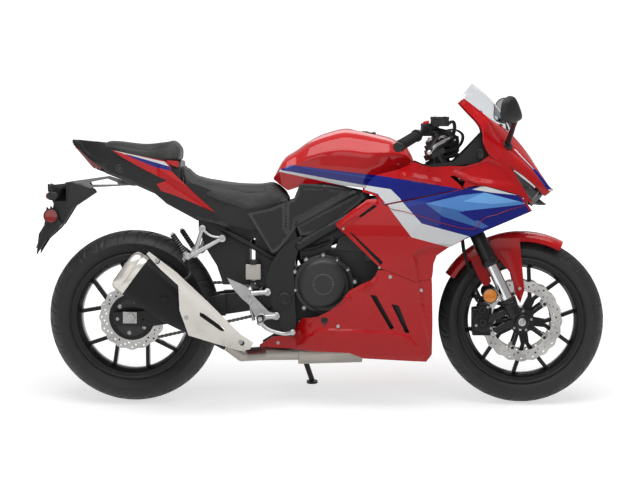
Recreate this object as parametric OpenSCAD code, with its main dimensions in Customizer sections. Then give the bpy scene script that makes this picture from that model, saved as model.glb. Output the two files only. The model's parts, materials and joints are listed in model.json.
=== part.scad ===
// Sport bike, full fairing, parked on its side stand.
// Every piece is drawn upright, in a bike frame: +X forward from the rear axle, +Y to the rider's
// left, +Z up from the ground. park() then leans the whole machine to its left onto the stand.

/* [Chassis] */
// Distance between the wheel axles
wheelbase = 1410; // [1300:5:1700]
// Angle of the steering axis from upright
rake = 25.5; // [23:0.5:28]
// Ground distance from the steering axis to the tyre's contact point
trail = 102; // [90:1:115]
// How far the parked machine leans to its left
lean = 10; // [8:0.5:12]
// Height of the swingarm's pivot above the ground
pivot_z = 385; // [370:1:395]
// Width between the fork legs' centres
fork_spread = 208; // [196:1:215]

/* [Wheels] */
// Outer radius of the front tyre
front_r = 300; // [280:1:305]
// Width of the front tyre
front_w = 119; // [110:1:122]
// Radius of the front tyre's tread crown
front_crown = 62; // [58:1:70]
// Outer radius of the rear tyre
rear_r = 312; // [280:1:318]
// Width of the rear tyre
rear_w = 160; // [140:1:162]
// Radius of the rear tyre's tread crown
rear_crown = 84; // [80:1:95]
// Radius of both rims' bead seats
bead_r = 216; // [205:1:218]
// Diameter of the front brake discs
front_disc_d = 296; // [276:1:300]
// Diameter of the rear brake disc
rear_disc_d = 240; // [220:1:250]
// Radius of the front axle
front_axle_r = 9; // [8:0.5:10]
// Radius of the rear axle
rear_axle_r = 10; // [8:0.5:11]

/* [Fork and bars] */
// Radius of the fork's outer tubes
fork_outer_r = 27; // [25:0.5:28]
// Radius of the fork's chromed inner tubes
fork_inner_r = 20.5; // [18:0.5:22]
// Radius of the handlebar tubes
bar_r = 11; // [10:0.5:12]
// Radius of the rubber grips
grip_r = 16.5; // [15:0.5:19]

/* [Bodywork] */
// Greatest half width of the side fairings
fairing_half_w = 235; // [220:1:255]
// Wall thickness of the moulded panels
panel_t = 4; // [3:0.5:5]
// Half width of the fuel tank at its widest
tank_half_w = 142; // [125:1:150]
// Half width of the rider's seat
seat_half_w = 118; // [105:1:125]

/* [Engine and exhaust] */
// Half width of the crankcase
case_half_w = 118; // [105:1:124]
// Radius of the clutch cover
clutch_r = 104; // [90:1:108]
// Radius of the exhaust link pipe
pipe_r = 25; // [20:0.5:30]
// Thickness of the side stand's leg
stand_w = 20; // [16:1:24]

/* [Hidden] */

// Fits: fixed round fits, running fits, still pieces side by side, and moving pieces beside still ones
fit = 0.15;
run = 0.3;
seat = 0.4;
clear = 5;

// Wheels: a leaned tyre stands on the side of its crown, so its axle sits slightly higher
front_axle_z = front_r + front_crown * (1 / cos(lean) - 1);
rear_axle_z = rear_r + rear_crown * (1 / cos(lean) - 1);
rim_lip = 12;
front_bead = 44.5;
rear_bead = 57;
hub_half = 60;
disc_t = 5;
disc_y = 66;
spoke_n = 5;

// Steering axis, measured along itself from the ground point ahead of the front contact
steer_x = wheelbase + trail;
fork_offset = front_axle_z * sin(rake) - trail * cos(rake);
axle_s = trail * sin(rake) + front_axle_z * cos(rake);
leg_x = 26;
leg_y = fork_spread / 2;
yoke_low_s = 742;
yoke_top_s = 985;
yoke_t = 26;
leg_top_s = yoke_top_s + 62;
chrome_low_s = axle_s + 105;
chrome_top_s = axle_s + 232;

// Swingarm pivot, engine and chain
pivot_x = 557;
pivot_r = 12;
arm_y = 112;
arm_t = 26;
plate_y = 118;
plate_t = 22;
chain_y = 100;
chain_w = 16;
rear_sprocket_r = 98;
step_y = 132;
rear_disc_y = arm_y - 16;
front_axle_bore_r = 5.5;
front_sprocket = [642, 394];
front_sprocket_r = 36;
chain_h = 13;
clutch_c = [699, 435];

// Bodywork stretches with the wheelbase ahead of the swingarm pivot
body_reach = 1410 - pivot_x;
stretch = (wheelbase - pivot_x) / body_reach;

// Side stand: where its pivot sits, where its foot stands, and where it folds to
stand_pivot = [572, 166, 262];
stand_axis = [0, 0.87, 0.5];
stand_foot = [640, 236];
stand_foot_r = 21;
stand_barrel = 28;

// The box of the whole machine is centred on the origin by these two shifts
shift_x = -672;
shift_y = -144.3;

stand_dir = stand_axis / norm(stand_axis);

function sx(x) = x <= pivot_x ? x : pivot_x + (x - pivot_x) * stretch;
function mix(a, b, t) = a + (b - a) * t;
function steps(n) = [for (i = [0:n]) i / n];
function unit(v) = v / norm(v);
function arc(r, c, a0, a1, n) =
    [for (t = steps(n)) [c[0] + r * cos(mix(a0, a1, t)), c[1] + r * sin(mix(a0, a1, t))]];

// Half width of the fairings at a place in side view
fairing_plan = [[420, 0.56], [606, 0.6], [640, 0.82], [740, 0.9], [880, 0.97], [1000, 1], [1100, 1],
    [1200, 0.95],
    [1300, 0.84], [1380, 0.68], [1450, 0.47], [1500, 0.28], [1540, 0.1]];
fairing_height = [[140, 0.52], [170, 0.62], [220, 0.72], [320, 0.82], [450, 0.9], [560, 0.97], [650, 1],
    [740, 0.98], [800, 0.92], [860, 0.84], [950, 0.75], [1050, 0.66], [1120, 0.6]];
function fairing_y(x, z) = fairing_half_w * lookup(x, fairing_plan) * lookup(z, fairing_height);

// Leans and centres the machine
module park() {
    translate([shift_x, shift_y, 0]) rotate([-lean, 0, 0]) children();
}
// Draws a piece and its mirror image
module both_sides() {
    children();
    mirror([0, 1, 0]) children();
}
// A straight round bar between two points
module rod(a, b, r, fn = 32) {
    v = b - a;
    translate(a) rotate([0, acos(v[2] / norm(v)), atan2(v[1], v[0])])
        cylinder(r = r, h = norm(v), $fn = fn);
}
// A bent tube through a list of points, with a ball at each bend
module tube(pts, r) {
    for (i = [0:len(pts) - 2]) rod(pts[i], pts[i + 1], r);
    for (i = [1:len(pts) - 2]) translate(pts[i]) sphere(r = r + 0.4, $fn = 32);
}
// A cylinder across the machine, from y0 to y1
module cross_pin(x, z, r, y0, y1, fn = 48) {
    translate([x, y0, z]) rotate([-90, 0, 0]) cylinder(r = r, h = y1 - y0, $fn = fn);
}
// A side-view outline as a plate from y0 to y1
module side_plate(pts, y0, y1) {
    translate([0, y1, 0]) rotate([90, 0, 0]) linear_extrude(height = y1 - y0) polygon(pts);
}
// Things placed along the steering axis: +Z up the axis, +X ahead of it
module on_steering() {
    translate([steer_x, 0, 0]) rotate([0, -rake, 0]) children();
}

// Closed shell between two point grids of the same size
module shell(outer, inner) {
    n = len(outer);
    m = len(outer[0]);
    pts = concat([for (r = outer) each r], [for (r = inner) each r]);
    half = n * m;
    quads = [for (i = [0:n - 2]) for (j = [0:m - 2])
        [i * m + j, i * m + j + 1, (i + 1) * m + j + 1, (i + 1) * m + j]];
    back = [for (q = quads) [for (k = [3:-1:0]) q[k] + half]];
    rim = concat([for (j = [0:m - 2]) j], [for (i = [0:n - 2]) i * m + m - 1],
        [for (j = [m - 1:-1:1]) (n - 1) * m + j], [for (i = [n - 1:-1:1]) i * m]);
    edge = [for (k = [0:len(rim) - 1]) let (a = rim[k], b = rim[(k + 1) % len(rim)])
        [b, a, a + half, b + half]];
    tri = [for (q = concat(quads, back, edge)) each [[q[0], q[2], q[1]], [q[0], q[3], q[2]]]];
    polyhedron(pts, tri);
}
// A panel that follows the fairing's surface between two side-view edges, on the right side
module fairing_panel(low, high, xs, rows, t, inset = 0) {
    grid = [for (x = xs) let (a = lookup(x, low), b = lookup(x, high))
        [for (v = steps(rows)) let (z = mix(a, b, v))
        [sx(x), -(fairing_y(x, z) - inset), z]]];
    back = [for (r = grid) [for (p = r) p + [0, t, 0]]];
    shell(grid, back);
}
// A solid lofted through closed rings of points, each ring seen from the front, rear to front
module loft(rings) {
    n = len(rings);
    m = len(rings[0]);
    pts = [for (r = rings) each r];
    side = [for (i = [0:n - 2]) for (j = [0:m - 1]) let (k = (j + 1) % m)
        each [[i * m + j, (i + 1) * m + j, (i + 1) * m + k], [i * m + j, (i + 1) * m + k, i * m + k]]];
    first = [for (j = [1:m - 2]) [0, j, j + 1]];
    last = [for (j = [1:m - 2]) [(n - 1) * m, (n - 1) * m + j + 1, (n - 1) * m + j]];
    polyhedron(pts, concat(side, first, last));
}
// A ring for loft(): flat below, crowned above
function crown_ring(x, w, z0, z1, k = 0.7, n = 14) =
    [for (t = steps(n)) let (a = 180 * t)
        [x, w * sign(cos(a)) * pow(abs(cos(a)), k), z0 + (z1 - z0) * pow(sin(a), 0.8)]];
// A body lofted along X through tables of half width, underside and top
module crowned_body(xs, width, under, top, k = 0.7, n = 14) {
    loft([for (x = xs) crown_ring(sx(x), lookup(x, width), lookup(x, under), lookup(x, top), k, n)]);
}

// ---------------------------------------------------------------- wheels
// Half of a tyre's section, as [radius, y], on the +Y side from bead to crown middle
function tyre_side(r, w, crown, bead) =
    let (h = r - bead_r, mid = bead_r + h * 0.52, edge = asin(min(1, (w / 2 - 3) / crown)))
    concat([[bead_r + 0.3, bead - 9], [bead_r + 0.3, bead], [bead_r + rim_lip + 1, bead]],
        [[bead_r + rim_lip + 4, bead + 4], [mid, w / 2]],
        [for (t = steps(10)) let (a = mix(min(edge, 78), 0, t))
            [r - crown + crown * cos(a), crown * sin(a)]]);
function tyre_inside(r, w, crown, bead) =
    let (h = r - bead_r, mid = bead_r + h * 0.52, wall = 8)
    [[r - wall - 3, 0], [r - wall - 8, w / 4], [mid + 8, w / 2 - wall - 3], [mid, w / 2 - wall],
        [bead_r + rim_lip + 8, bead - 6]];
module tyre(r, w, crown, bead) {
    a = tyre_side(r, w, crown, bead);
    b = tyre_inside(r, w, crown, bead);
    half = concat(a, b);
    other = [for (i = [len(half) - 1:-1:0]) if (half[i][1] > 0) [half[i][0], -half[i][1]]];
    outside = concat([for (p = a) p], [for (i = [len(a) - 2:-1:0]) [a[i][0], -a[i][1]]]);
    inside = concat([for (i = [len(b) - 1:-1:1]) [b[i][0], -b[i][1]]], [for (p = b) p]);
    rotate([90, 0, 0]) rotate_extrude($fn = 96) polygon(concat(outside, inside));
}
// One forked spoke in the wheel's plane, pointing along +X
module spoke_outline(hub, out) {
    tip = 18;
    for (s = [-1, 1]) rotate(0) polygon([[hub - 3, s * -4], [hub - 3, s * 17], [hub + 42, s * 15],
        [out * cos(tip), s * (out * sin(tip) + 7)], [out * cos(tip) + 4, s * (out * sin(tip) - 7)],
            [hub + 48, s * 2], [hub + 30, s * -4]]);
}
module rim(bead, hub, axle_r, spoke_half, start) {
    lip = bead + 6.5;
    well = bead_r - 24;
    barrel = [[bead_r - 10, -lip], [bead_r + rim_lip, -lip], [bead_r + rim_lip, -bead - 0.3],
        [bead_r, -bead - 0.3],
        [bead_r, -bead + 16], [well + 6, -14], [well + 6, 14], [bead_r, bead - 16],
        [bead_r, bead + 0.3], [bead_r + rim_lip, bead + 0.3], [bead_r + rim_lip, lip], [bead_r - 10, lip],
        [well, 20], [well, -20]];
    difference() {
        union() {
            rotate([90, 0, 0]) rotate_extrude($fn = 96) polygon(barrel);
            rotate([90, 0, 0]) cylinder(r = hub, h = 2 * hub_half, center = true, $fn = 64);
            for (i = [0:spoke_n - 1]) rotate([0, start + i * 360 / spoke_n, 0])
                rotate([90, 0, 0]) linear_extrude(height = 2 * spoke_half, center = true)
                    spoke_outline(hub, well + 2);
        }
        rotate([90, 0, 0]) cylinder(r = axle_r + run, h = 2 * hub_half + 2, center = true, $fn = 48);
    }
}
// A wave-edged brake disc on its carrier ring, centred on Y = y
module wave_disc(d, y, hub) {
    n = 10;
    edge = [for (t = steps(119)) let (a = 360 * t * 119 / 120, r = d / 2 - 2.5 + 2.5 * cos(n * a))
        [r * cos(a), r * sin(a)]];
    translate([0, y, 0]) rotate([90, 0, 0]) difference() {
        linear_extrude(height = disc_t, center = true) polygon(edge);
        cylinder(r = hub + fit, h = disc_t + 2, center = true, $fn = 64);
    }
}
module front_tyre() color("#1c1c1e") park() translate([wheelbase, 0, front_axle_z])
    tyre(front_r, front_w, front_crown, front_bead);
module front_rim() color("#161617") park() translate([wheelbase, 0, front_axle_z])
    rim(front_bead, 46, front_axle_r, 15, 8);
module front_discs() color("silver") park() translate([wheelbase, 0, front_axle_z])
    for (s = [-1, 1]) difference() {
        translate([0, s * disc_y, 0]) union() {
            wave_disc(front_disc_d, 0, 40);
            rotate([90, 0, 0]) cylinder(r = 48, h = 9, center = true, $fn = 64);
        }
        rotate([90, 0, 0]) cylinder(r = front_axle_r + run, h = 400, center = true, $fn = 48);
        rotate([90, 0, 0]) cylinder(r = 70, h = 2 * (hub_half + fit), center = true, $fn = 64);
    }
module rear_tyre() color("#1c1c1e") park() translate([0, 0, rear_axle_z])
    tyre(rear_r, rear_w, rear_crown, rear_bead);
module rear_rim() color("#161617") park() translate([0, 0, rear_axle_z])
    rim(rear_bead, 58, rear_axle_r, 17, -14);
module rear_disc() color("silver") park() translate([0, 0, rear_axle_z]) difference() {
    union() {
        wave_disc(rear_disc_d, -rear_disc_y, 50);
        translate([0, -(hub_half + fit), 0]) rotate([90, 0, 0])
            cylinder(r = 56, h = rear_disc_y + disc_t / 2 - hub_half - fit, $fn = 64);
    }
    rotate([90, 0, 0]) cylinder(r = rear_axle_r + run, h = 400, center = true, $fn = 48);
}
module rear_sprocket() color("#8a8c8f") park() translate([0, 0, rear_axle_z]) difference() {
    union() {
        cross_pin(0, 0, rear_sprocket_r, chain_y - 4, chain_y + 4, 64);
        cross_pin(0, 0, 62, hub_half + fit, chain_y - 4);
    }
    cross_pin(0, 0, rear_axle_r + run, 0, 200);
}

// ---------------------------------------------------------------- chassis
spar_r = 19;
head_r = 32;
stem_r = 16;
rail_r = 11;
rail_y = 105;
lower_rail_r = 10;
shock_pin_r = 16;
frame_spar = [[1118, 34, 775], [985, 92, 752], [850, 122, 712], [720, 130, 640], [610, 130, 575]];
module frame() color("#1b1b1d") park() difference() {
    union() {
        for (s = [-1, 1]) tube([for (p = frame_spar) [sx(p[0]), s * p[1], p[2]]], spar_r);
        for (s = [-1, 1]) translate([sx(847), s * 100, 715])
            cylinder(r = 11, h = lookup(847, tank_under) - 715 - seat, $fn = 48);
        both_sides() translate([sx(610), -130, 575]) sphere(r = spar_r + 0.4, $fn = 32);
        both_sides() side_plate([[625, 604], [600, 606], [545, 566], [520, 532], [504, 500], [488, 446],
            [505, 372],
            [560, 252], [590, 246], [598, 300], [592, 400], [590, 500], [606, 560]],
                -(plate_y + plate_t), -plate_y);
        both_sides() side_plate([[548, 566], [600, 606], [592, 636], [548, 640]], -(plate_y + 7),
            -rail_y - rail_r - seat);
        cross_pin(545, 520, shock_pin_r, -plate_y - 4, plate_y + 4);
        cross_pin(574, 272, 13, -plate_y - 4, plate_y + 4);
        rod(stand_pivot - stand_dir * 40, stand_pivot - stand_dir * (stand_barrel / 2 + run), 14);
        on_steering() translate([0, 0, yoke_low_s + yoke_t + 3])
            cylinder(r = head_r, h = yoke_top_s - yoke_low_s - yoke_t - 6, $fn = 64);
    }
    on_steering() translate([0, 0, yoke_low_s]) cylinder(r = stem_r + run, h = 400, $fn = 48);
    cross_pin(pivot_x, pivot_z, pivot_r + fit, -200, 200);
}
// The tail's covers start here, and the seat rails end at their front face
tail_x = 240;
upper_rail = [[556, -rail_y, 622], [440, -102, 675], [tail_x + seat + 3.2, -80, 732]];
lower_rail = [[520, -(plate_y - lower_rail_r - seat), 527], [tail_x + seat + 4.9, -86, 675.6]];
step_bolts = [[262, 639], [332, 602]];
module subframe() color("#232325") park() {
    both_sides() tube(upper_rail, rail_r);
    both_sides() tube(lower_rail, lower_rail_r);
    both_sides() side_plate([[248, 672], [262, 724], [300, 713], [345, 630], [344, 592], [254, 628]],
        -98, -86);
    both_sides() for (b = step_bolts) cross_pin(b[0], b[1], 9, -(step_y - seat), -90);
    for (x = [300, 440]) let (z = mix(675, 733, (440 - x) / (440 - tail_x))) cross_pin(x, z, 9, -90, 90);
}
// Threaded holes for a paddock stand's spools
spool = [46, 308];
spool_r = 4;
spool_depth = 16;
function arm_top(x) = lookup(x, [[60, rear_axle_z + 24], [300, 392]]);
module swingarm() color("#1d1d1f") park() difference() {
    union() {
        both_sides() side_plate([[-62, rear_axle_z - 26], [-66, rear_axle_z + 18],
            [60, rear_axle_z + 24], [300, 392],
            [330, 396], [330, 322], [250, 308], [60, rear_axle_z - 32]], -(arm_y + arm_t), -arm_y);
        both_sides() side_plate([[318, 398], [pivot_x, pivot_z + 27], [pivot_x, pivot_z - 27],
            [318, 322]], -116, -88);
        both_sides() side_plate([[318, 398], [342, 398], [342, 322], [318, 322]], -(arm_y + arm_t), -88);
        cross_pin(pivot_x, pivot_z, 27, -116, 116);
        side_plate([[430, 396], [480, 398], [480, 344], [430, 338]], -90, 90);
    }
    cross_pin(pivot_x, pivot_z, pivot_r + fit, -200, 200);
    cross_pin(0, rear_axle_z, rear_axle_r + fit, -200, 200);
    for (s = [-1, 1]) cross_pin(spool[0], spool[1], spool_r, s * (arm_y + arm_t) - spool_depth,
        s * (arm_y + arm_t) + spool_depth);
}
module rear_axle() color("#9a9c9f") park() {
    cross_pin(0, rear_axle_z, rear_axle_r, -(arm_y + arm_t + 16), arm_y + arm_t + 16);
    for (s = [-1, 1]) cross_pin(0, rear_axle_z, 17, s * (arm_y + arm_t + 8) - 8 + fit * s,
        s * (arm_y + arm_t + 8) + 8 + fit * s, 6);
    cross_pin(pivot_x, pivot_z, pivot_r, -(plate_y + plate_t + 9), plate_y + plate_t + 9);
    for (s = [-1, 1]) cross_pin(pivot_x, pivot_z, 17, s * (plate_y + plate_t + 5) - 5 + fit * s,
        s * (plate_y + plate_t + 5) + 5 + fit * s, 6);
}
function belt(c0, r0, c1, r1, n) =
    let (d = c1 - c0, a = atan2(d[1], d[0]), k = acos((r0 - r1) / norm(d)))
    concat(arc(r0, c0, a + k, a + 360 - k, n), arc(r1, c1, a - k, a + k, n));
module drive_chain() color("#6b6f75") park() difference() {
    side_plate(belt([0, rear_axle_z], rear_sprocket_r + run + chain_h, front_sprocket,
        front_sprocket_r + chain_h, 24), chain_y - chain_w / 2, chain_y + chain_w / 2);
    side_plate(belt([0, rear_axle_z], rear_sprocket_r + run + 0.3, front_sprocket, front_sprocket_r,
        24), chain_y - chain_w, chain_y + chain_w);
}
module shock_absorber() color("#a61f24") park() {
    low = [459, 0, 398 + 6.2 + seat];
    top = [545, 0, 520];
    dir = unit(top - low);
    rod(low, top - dir * (shock_pin_r + seat), 11);
    rod(low + dir * 30, top - dir * 34, 27, 48);
}

// ---------------------------------------------------------------- engine
module crankcase() color("#1f2022") park() difference() {
    union() {
        side_plate([[590, 300], [590, 486], [640, 520], [700, 560], [905, 545], [905, 420], [880, 350],
            [800, 322], [640, 300]],
            -case_half_w + 26, case_half_w - 30);
        cross_pin(584, 480, 13, -plate_y + seat, plate_y - seat);
        cross_pin(586, 307, 11, -plate_y + seat, plate_y - seat);
        cross_pin(clutch_c[0], clutch_c[1], clutch_r - 10, -case_half_w, 0, 96);
        cross_pin(820, 430, 88, 0, case_half_w - 6, 96);
        side_plate([[650, 318], [830, 328], [800, 232], [680, 232]], -80, 80);
        translate([880, 0, 392]) rotate([0, 90, 0]) cylinder(r = 34, h = 50, $fn = 48);
    }
    cross_pin(front_sprocket[0], front_sprocket[1], front_sprocket_r + chain_h + 6,
        chain_y - chain_w / 2 - 8, 200);
    side_plate([[591, 322], [591, 462], [front_sprocket[0], front_sprocket[1] + 56],
        [front_sprocket[0], front_sprocket[1] - 56]],
        chain_y - chain_w / 2 - 8, 200);
}
module cylinder_head() color("#27282a") park() {
    side_plate([[735, 557.8 + seat], [904.2, 545 + seat], [949.2, 700], [790, 716]], -90, 90);
    side_plate([[788, 715], [952, 699], [956, 718], [900, 730], [800, 732]], -72, 72);
}
module engine_covers() color("#2b2c2f") park() {
    translate([clutch_c[0], -case_half_w - fit, clutch_c[1]]) rotate([90, 0, 0]) {
        cylinder(r = clutch_r, h = 20, $fn = 96);
        translate([0, 0, 20]) cylinder(r1 = clutch_r - 8, r2 = clutch_r - 20, h = 14, $fn = 96);
        translate([0, 0, 34]) cylinder(r = 44, h = 6, $fn = 96);
    }
    cross_pin(820, 430, 90, case_half_w - 6 + fit, case_half_w + 22, 96);
    side_plate([[600, 452], [650, 466], [700, 440], [706, 380], [690, 344], [620, 330], [602, 340]],
        chain_y + chain_w / 2 + 4, chain_y + chain_w / 2 + 9);
    side_plate([[700, 452], [712, 452], [712, 360], [700, 350]], case_half_w - 30 + fit,
        chain_y + chain_w / 2 + 9);
}
module radiator() color("#1a1a1c") park() {
    side_plate([[sx(985), 384], [sx(1018), 384], [sx(1046), 640], [sx(1013), 640]], -166, 166);
    for (s = [-1, 1]) side_plate([[sx(980), 376], [sx(1024), 376], [sx(1052), 648], [sx(1008), 648]],
        s * 180 - 15, s * 180 + 15);
    both_sides() for (p = [[1008, 418], [1036, 600]])
        cross_pin(sx(p[0]), p[1], 8, -(fairing_y(p[0], p[1]) - panel_t - 1.6), -190);
    both_sides() side_plate([[sx(1020), 636], [sx(1038), 636], [sx(996), 738], [sx(978), 738]], -130,
        -118);
}
module exhaust_pipe() color("#a9a294") park() {
    for (s = [-1, 1]) tube([[sx(918) + seat, s * 42, 591.9], [sx(944), s * 42, 584],
        [sx(968), s * 42, 540], [sx(964), s * 40, 300], [sx(880), s * 30, 190], [sx(815), s * 24, 184]],
        19);
    rod([sx(830), 0, 182], [600, -30, 178], 40, 48);
    tube([[620, -30, 178], [470, -74, 180], muffler_front - muffler_dir * 50, muffler_at(0.0192)],
        pipe_r);
}

// ---------------------------------------------------------------- exhaust silencer
muffler_front = [366, -182, 216];
muffler_back = [-6, -212, 492];
muffler_up = [0.596, 0, 0.803];
function muffler_at(t) = mix(muffler_front, muffler_back, t);
muffler_dir = unit(muffler_back - muffler_front);
// A tall rounded section across the silencer's axis
function muffler_ring(t, h, w, n = 20) =
    let (up = muffler_up, out = [0, 1, 0], c = muffler_at(t))
    [for (i = [0:n - 1]) let (a = 360 * i / n) c + up * (h / 2 * sin(a)) + out * (w / 2 * cos(a))];
module muffler() color("#18181a") park()
    loft([muffler_ring(0.0238, 52, 52), muffler_ring(0.2, 78, 74), muffler_ring(0.42, 128, 98),
        muffler_ring(0.62, 152, 110),
        muffler_ring(0.9, 160, 112), muffler_ring(0.94, 150, 104)]);
module muffler_end_cap() color("#b7ab98") park() difference() {
    loft([muffler_ring(0.9406, 150, 104), muffler_ring(0.96, 162, 114), muffler_ring(1.0, 158, 108),
        muffler_ring(1.03, 120, 80)]);
    rod(muffler_at(0.97), muffler_at(1.06), 20);
}
module muffler_shield() color("#c3b8a4") park() {
    pts = [[295, 378], [405, 268], [452, 238], [441, 214], [404, 208], [222, 262], [190, 352],
        [186, 440], [120, 500], [73, 552], [82, 560], [180, 486]];
    side_plate(pts, -280, -275);
    for (q = [[0.42, 98], [0.62, 110]]) let (c = muffler_at(q[0]))
        rod([c[0], c[1] - q[1] / 2 - 1.4, c[2]], [c[0], -276, c[2]], 8);
}

// ---------------------------------------------------------------- tank, seats and tail
tank_x = [512, 540, 580, 630, 690, 760, 830, 890, 950, 1000, 1018];
tank_top = [[512, 822], [540, 876], [594, 919], [651, 958], [715, 984], [773, 996], [806, 993],
    [894, 974], [953, 955], [1003, 918], [1018, 888]];
tank_under = [[512, 812], [540, 790], [566, 772], [620, 790], [690, 800], [847, 782], [896, 806],
    [1018, 852]];
// Filler cap: its middle, the recess around it, and how far it stands below the tank's top
cap_x = 842;
cap_z = 974;
cap_r = 33;
tank_width = [[512, 0.45], [540, 0.66], [600, 0.72], [680, 0.82], [770, 0.97], [840, 1], [900, 0.95],
    [1018, 0.5]];
module fuel_tank() color("#c8101c") park() difference() {
    crowned_body(tank_x, [for (p = tank_width) [p[0], p[1] * tank_half_w]], tank_under, tank_top, 0.62,
        18);
    translate([sx(cap_x), 0, cap_z]) cylinder(r = cap_r + 16, h = 60, $fn = 64);
}
module fuel_cap() color("#2a2b2e") park() {
    translate([sx(cap_x), 0, cap_z + run]) cylinder(r = cap_r, h = 9, $fn = 64);
    translate([sx(cap_x) + cap_r - 8, -9, cap_z + run]) cube([14, 18, 9]);
}
module rider_seat() color("#232225") park()
    crowned_body([186, 210, 250, 300, 360, 419, 470, 505, 540, 572],
        [[186, 92], [250, seat_half_w], [440, seat_half_w], [505, 112], [572, 104]],
        [[186, 797], [250, 760], [300, 735], [380, 707], [419, 693.2], [505, 712], [572, 734]],
        [[186, 852], [210, 834], [250, 816], [300, 804], [360, 796], [420, 792], [470, 793], [500, 799],
            [540, 778], [572, 752]], 0.55);
module pillion_seat() color("#262528") park()
    crowned_body([-118, -60, 0, 60, 120, 168, 178],
        [[-118, 40], [-60, 66], [60, 88], [168, 96], [178, 88]],
        [[-118, 934], [-60, 906], [20, 888], [120, 880], [178, 884]],
        [[-118, 950], [-60, 946], [52, 936], [120, 943], [159, 946], [178, 925]], 0.5);
// The line in side view where the tail cowl meets the cover below it
tail_split = [[-226, 944], [-200, 922], [-140, 872], [-60, 866], [20, 854], [100, 830], [178, 800]];
module tail_cowl() color("#c8101c") park()
    crowned_body([-226, -200, -140, -60, 20, 100, 178],
        [[-226, 18], [-200, 40], [-140, 66], [-60, 84], [100, 104], [178, 104]], tail_split,
        [[-226, 956], [-200, 954], [-140, 944], [-119, 932], [-60, 904], [20, 886], [120, 878],
            [178, 878]], 0.3);
module tail_light() color("#7c0d12") park()
    side_plate([[-222, 940.6 - seat], [-200, 921.4 - seat], [-141, 872.2 - seat], [-139, 849],
        [-150, 854], [-208, 922]], -34, 34);
module tail_under_cover() color("#1e1e20") park()
    crowned_body([-134, -100, 20, 82, 126, 178, tail_x],
        [[-134, 46], [15, 76], [126, 92], [tail_x, 100]],
        [[-134, 848], [-102, 836], [15, 790], [82, 763], [126, 724], [tail_x, 663]],
        concat([[-134, 862], [-100, 868]], [for (p = tail_split) if (p[0] > 0) [p[0], p[1] - seat]],
            [[tail_x, 748]]), 0.3);
module plate_hanger() color("#1a1a1c") park() {
    side_plate([[-100, 834.6], [-20, 803.2], [10, 791.4], [-170, 778], [-279, 784], [-312, 776],
        [-308, 795], [-228, 806], [-163, 820]], -28, 28);
    side_plate([[-312, 780], [-290, 786], [-268, 712], [-345, 540], [-362, 536], [-350, 600],
        [-316, 668], [-292, 720]], -60, 60);
    for (s = [-1, 1]) rod([-288, s * 30, 752], [-288, s * 122, 752], 9);
}
module inner_mudguard() color("#151516") park()
    side_plate([[240, 664], [300, 672], [448, 665.2], [448, 600], [425, 590], [425, 430], [330, 430],
        [306, 500], [268, 560], [240, 630]], -72, 72);
module side_covers() color("#222224") park() both_sides()
    side_plate([[300, 700], [500, 548], [520, 551], [545, 574], [600, 644], [612, 612], [sx(710), 665],
        [sx(840), 737], [sx(862), 750],
        [sx(847), 782 - seat], [sx(690), 800 - seat], [620, 790 - seat], [590, 745], [575, 726],
            [419, 689], [330, 722]], -138, -126);

// ---------------------------------------------------------------- fairing
side_low = [[742, 655], [778, 630], [895, 512], [917, 490], [1030, 448], [1084, 452], [1090, 515],
    [1117, 555], [1185, 589], [1286, 641], [1358, 673], [1440, 706]];
side_high = [[742, 660], [868, 745], [921, 762], [1187, 781], [1260, 792], [1350, 764], [1440, 716]];
side_x = [742, 780, 830, 868, 895, 921, 975, 1030, 1084, 1092, 1117, 1185, 1240, 1290, 1350, 1400, 1440];
module side_fairings() color("#c8101c") park() both_sides()
    fairing_panel(side_low, side_high, side_x, 6, panel_t);

lower_low = [[462, 206.5], [613, 198], [796, 191], [840, 170], [1016, 161], [1067, 159], [1087, 192]];
lower_high = [[462, 214], [511, 243], [584, 250], [600, 290], [621, 314], [676, 322], [720, 344],
    [760, 376], [789, 416],
    [833, 441], [870, 470], [893, 498], [917, 487], [1030, 445], [1082, 449], [1087, 440]];
lower_x = [462, 511, 584, 600, 621, 676, 720, 760, 789, 840, 870, 893, 917, 975, 1030, 1067, 1082];
module lower_fairings() color("#c8101c") park() both_sides()
    fairing_panel(lower_low, lower_high, lower_x, 5, panel_t);

upper_low = [[850, 752], [921, 765], [1187, 784], [1260, 795], [1350, 767], [1444, 719]];
upper_high = [[850, 775], [896, 834], [1010, 874], [1048, 863], [1106, 857], [1200, 861], [1257, 876],
    [1285, 898], [1371, 852], [1444, 726]];
upper_x = [850, 896, 950, 1010, 1048, 1106, 1187, 1257, 1285, 1330, 1371, 1410, 1444];
module upper_cowls() color("#c8101c") park() both_sides()
    fairing_panel(upper_low, upper_high, upper_x, 5, panel_t);

// The nose: centre line from the tip up and back round the screen, and the matching outer line
nose_mid = [[1526, 0, 772], [1509, 0, 790], [1490, 0, 820], [1467, 0, 857], [1439, 0, 899],
    [1411, 0, 936], [1382, -10, 968],
    [1340, -52, 1003], [1292, -92, 1033], [1240, -122, 1068], [1193, -138, 1098]];
nose_out = [[1500, -34, 756], [1490, -46, 760], [1462, -74, 790], [1420, -100, 826], [1376, -128, 856],
    [1330, -150, 882], [1292, -164, 906],
    [1270, -170, 950], [1262, -166, 1005], [1212, -156, 1062], [1184, -144, 1092]];
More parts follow.
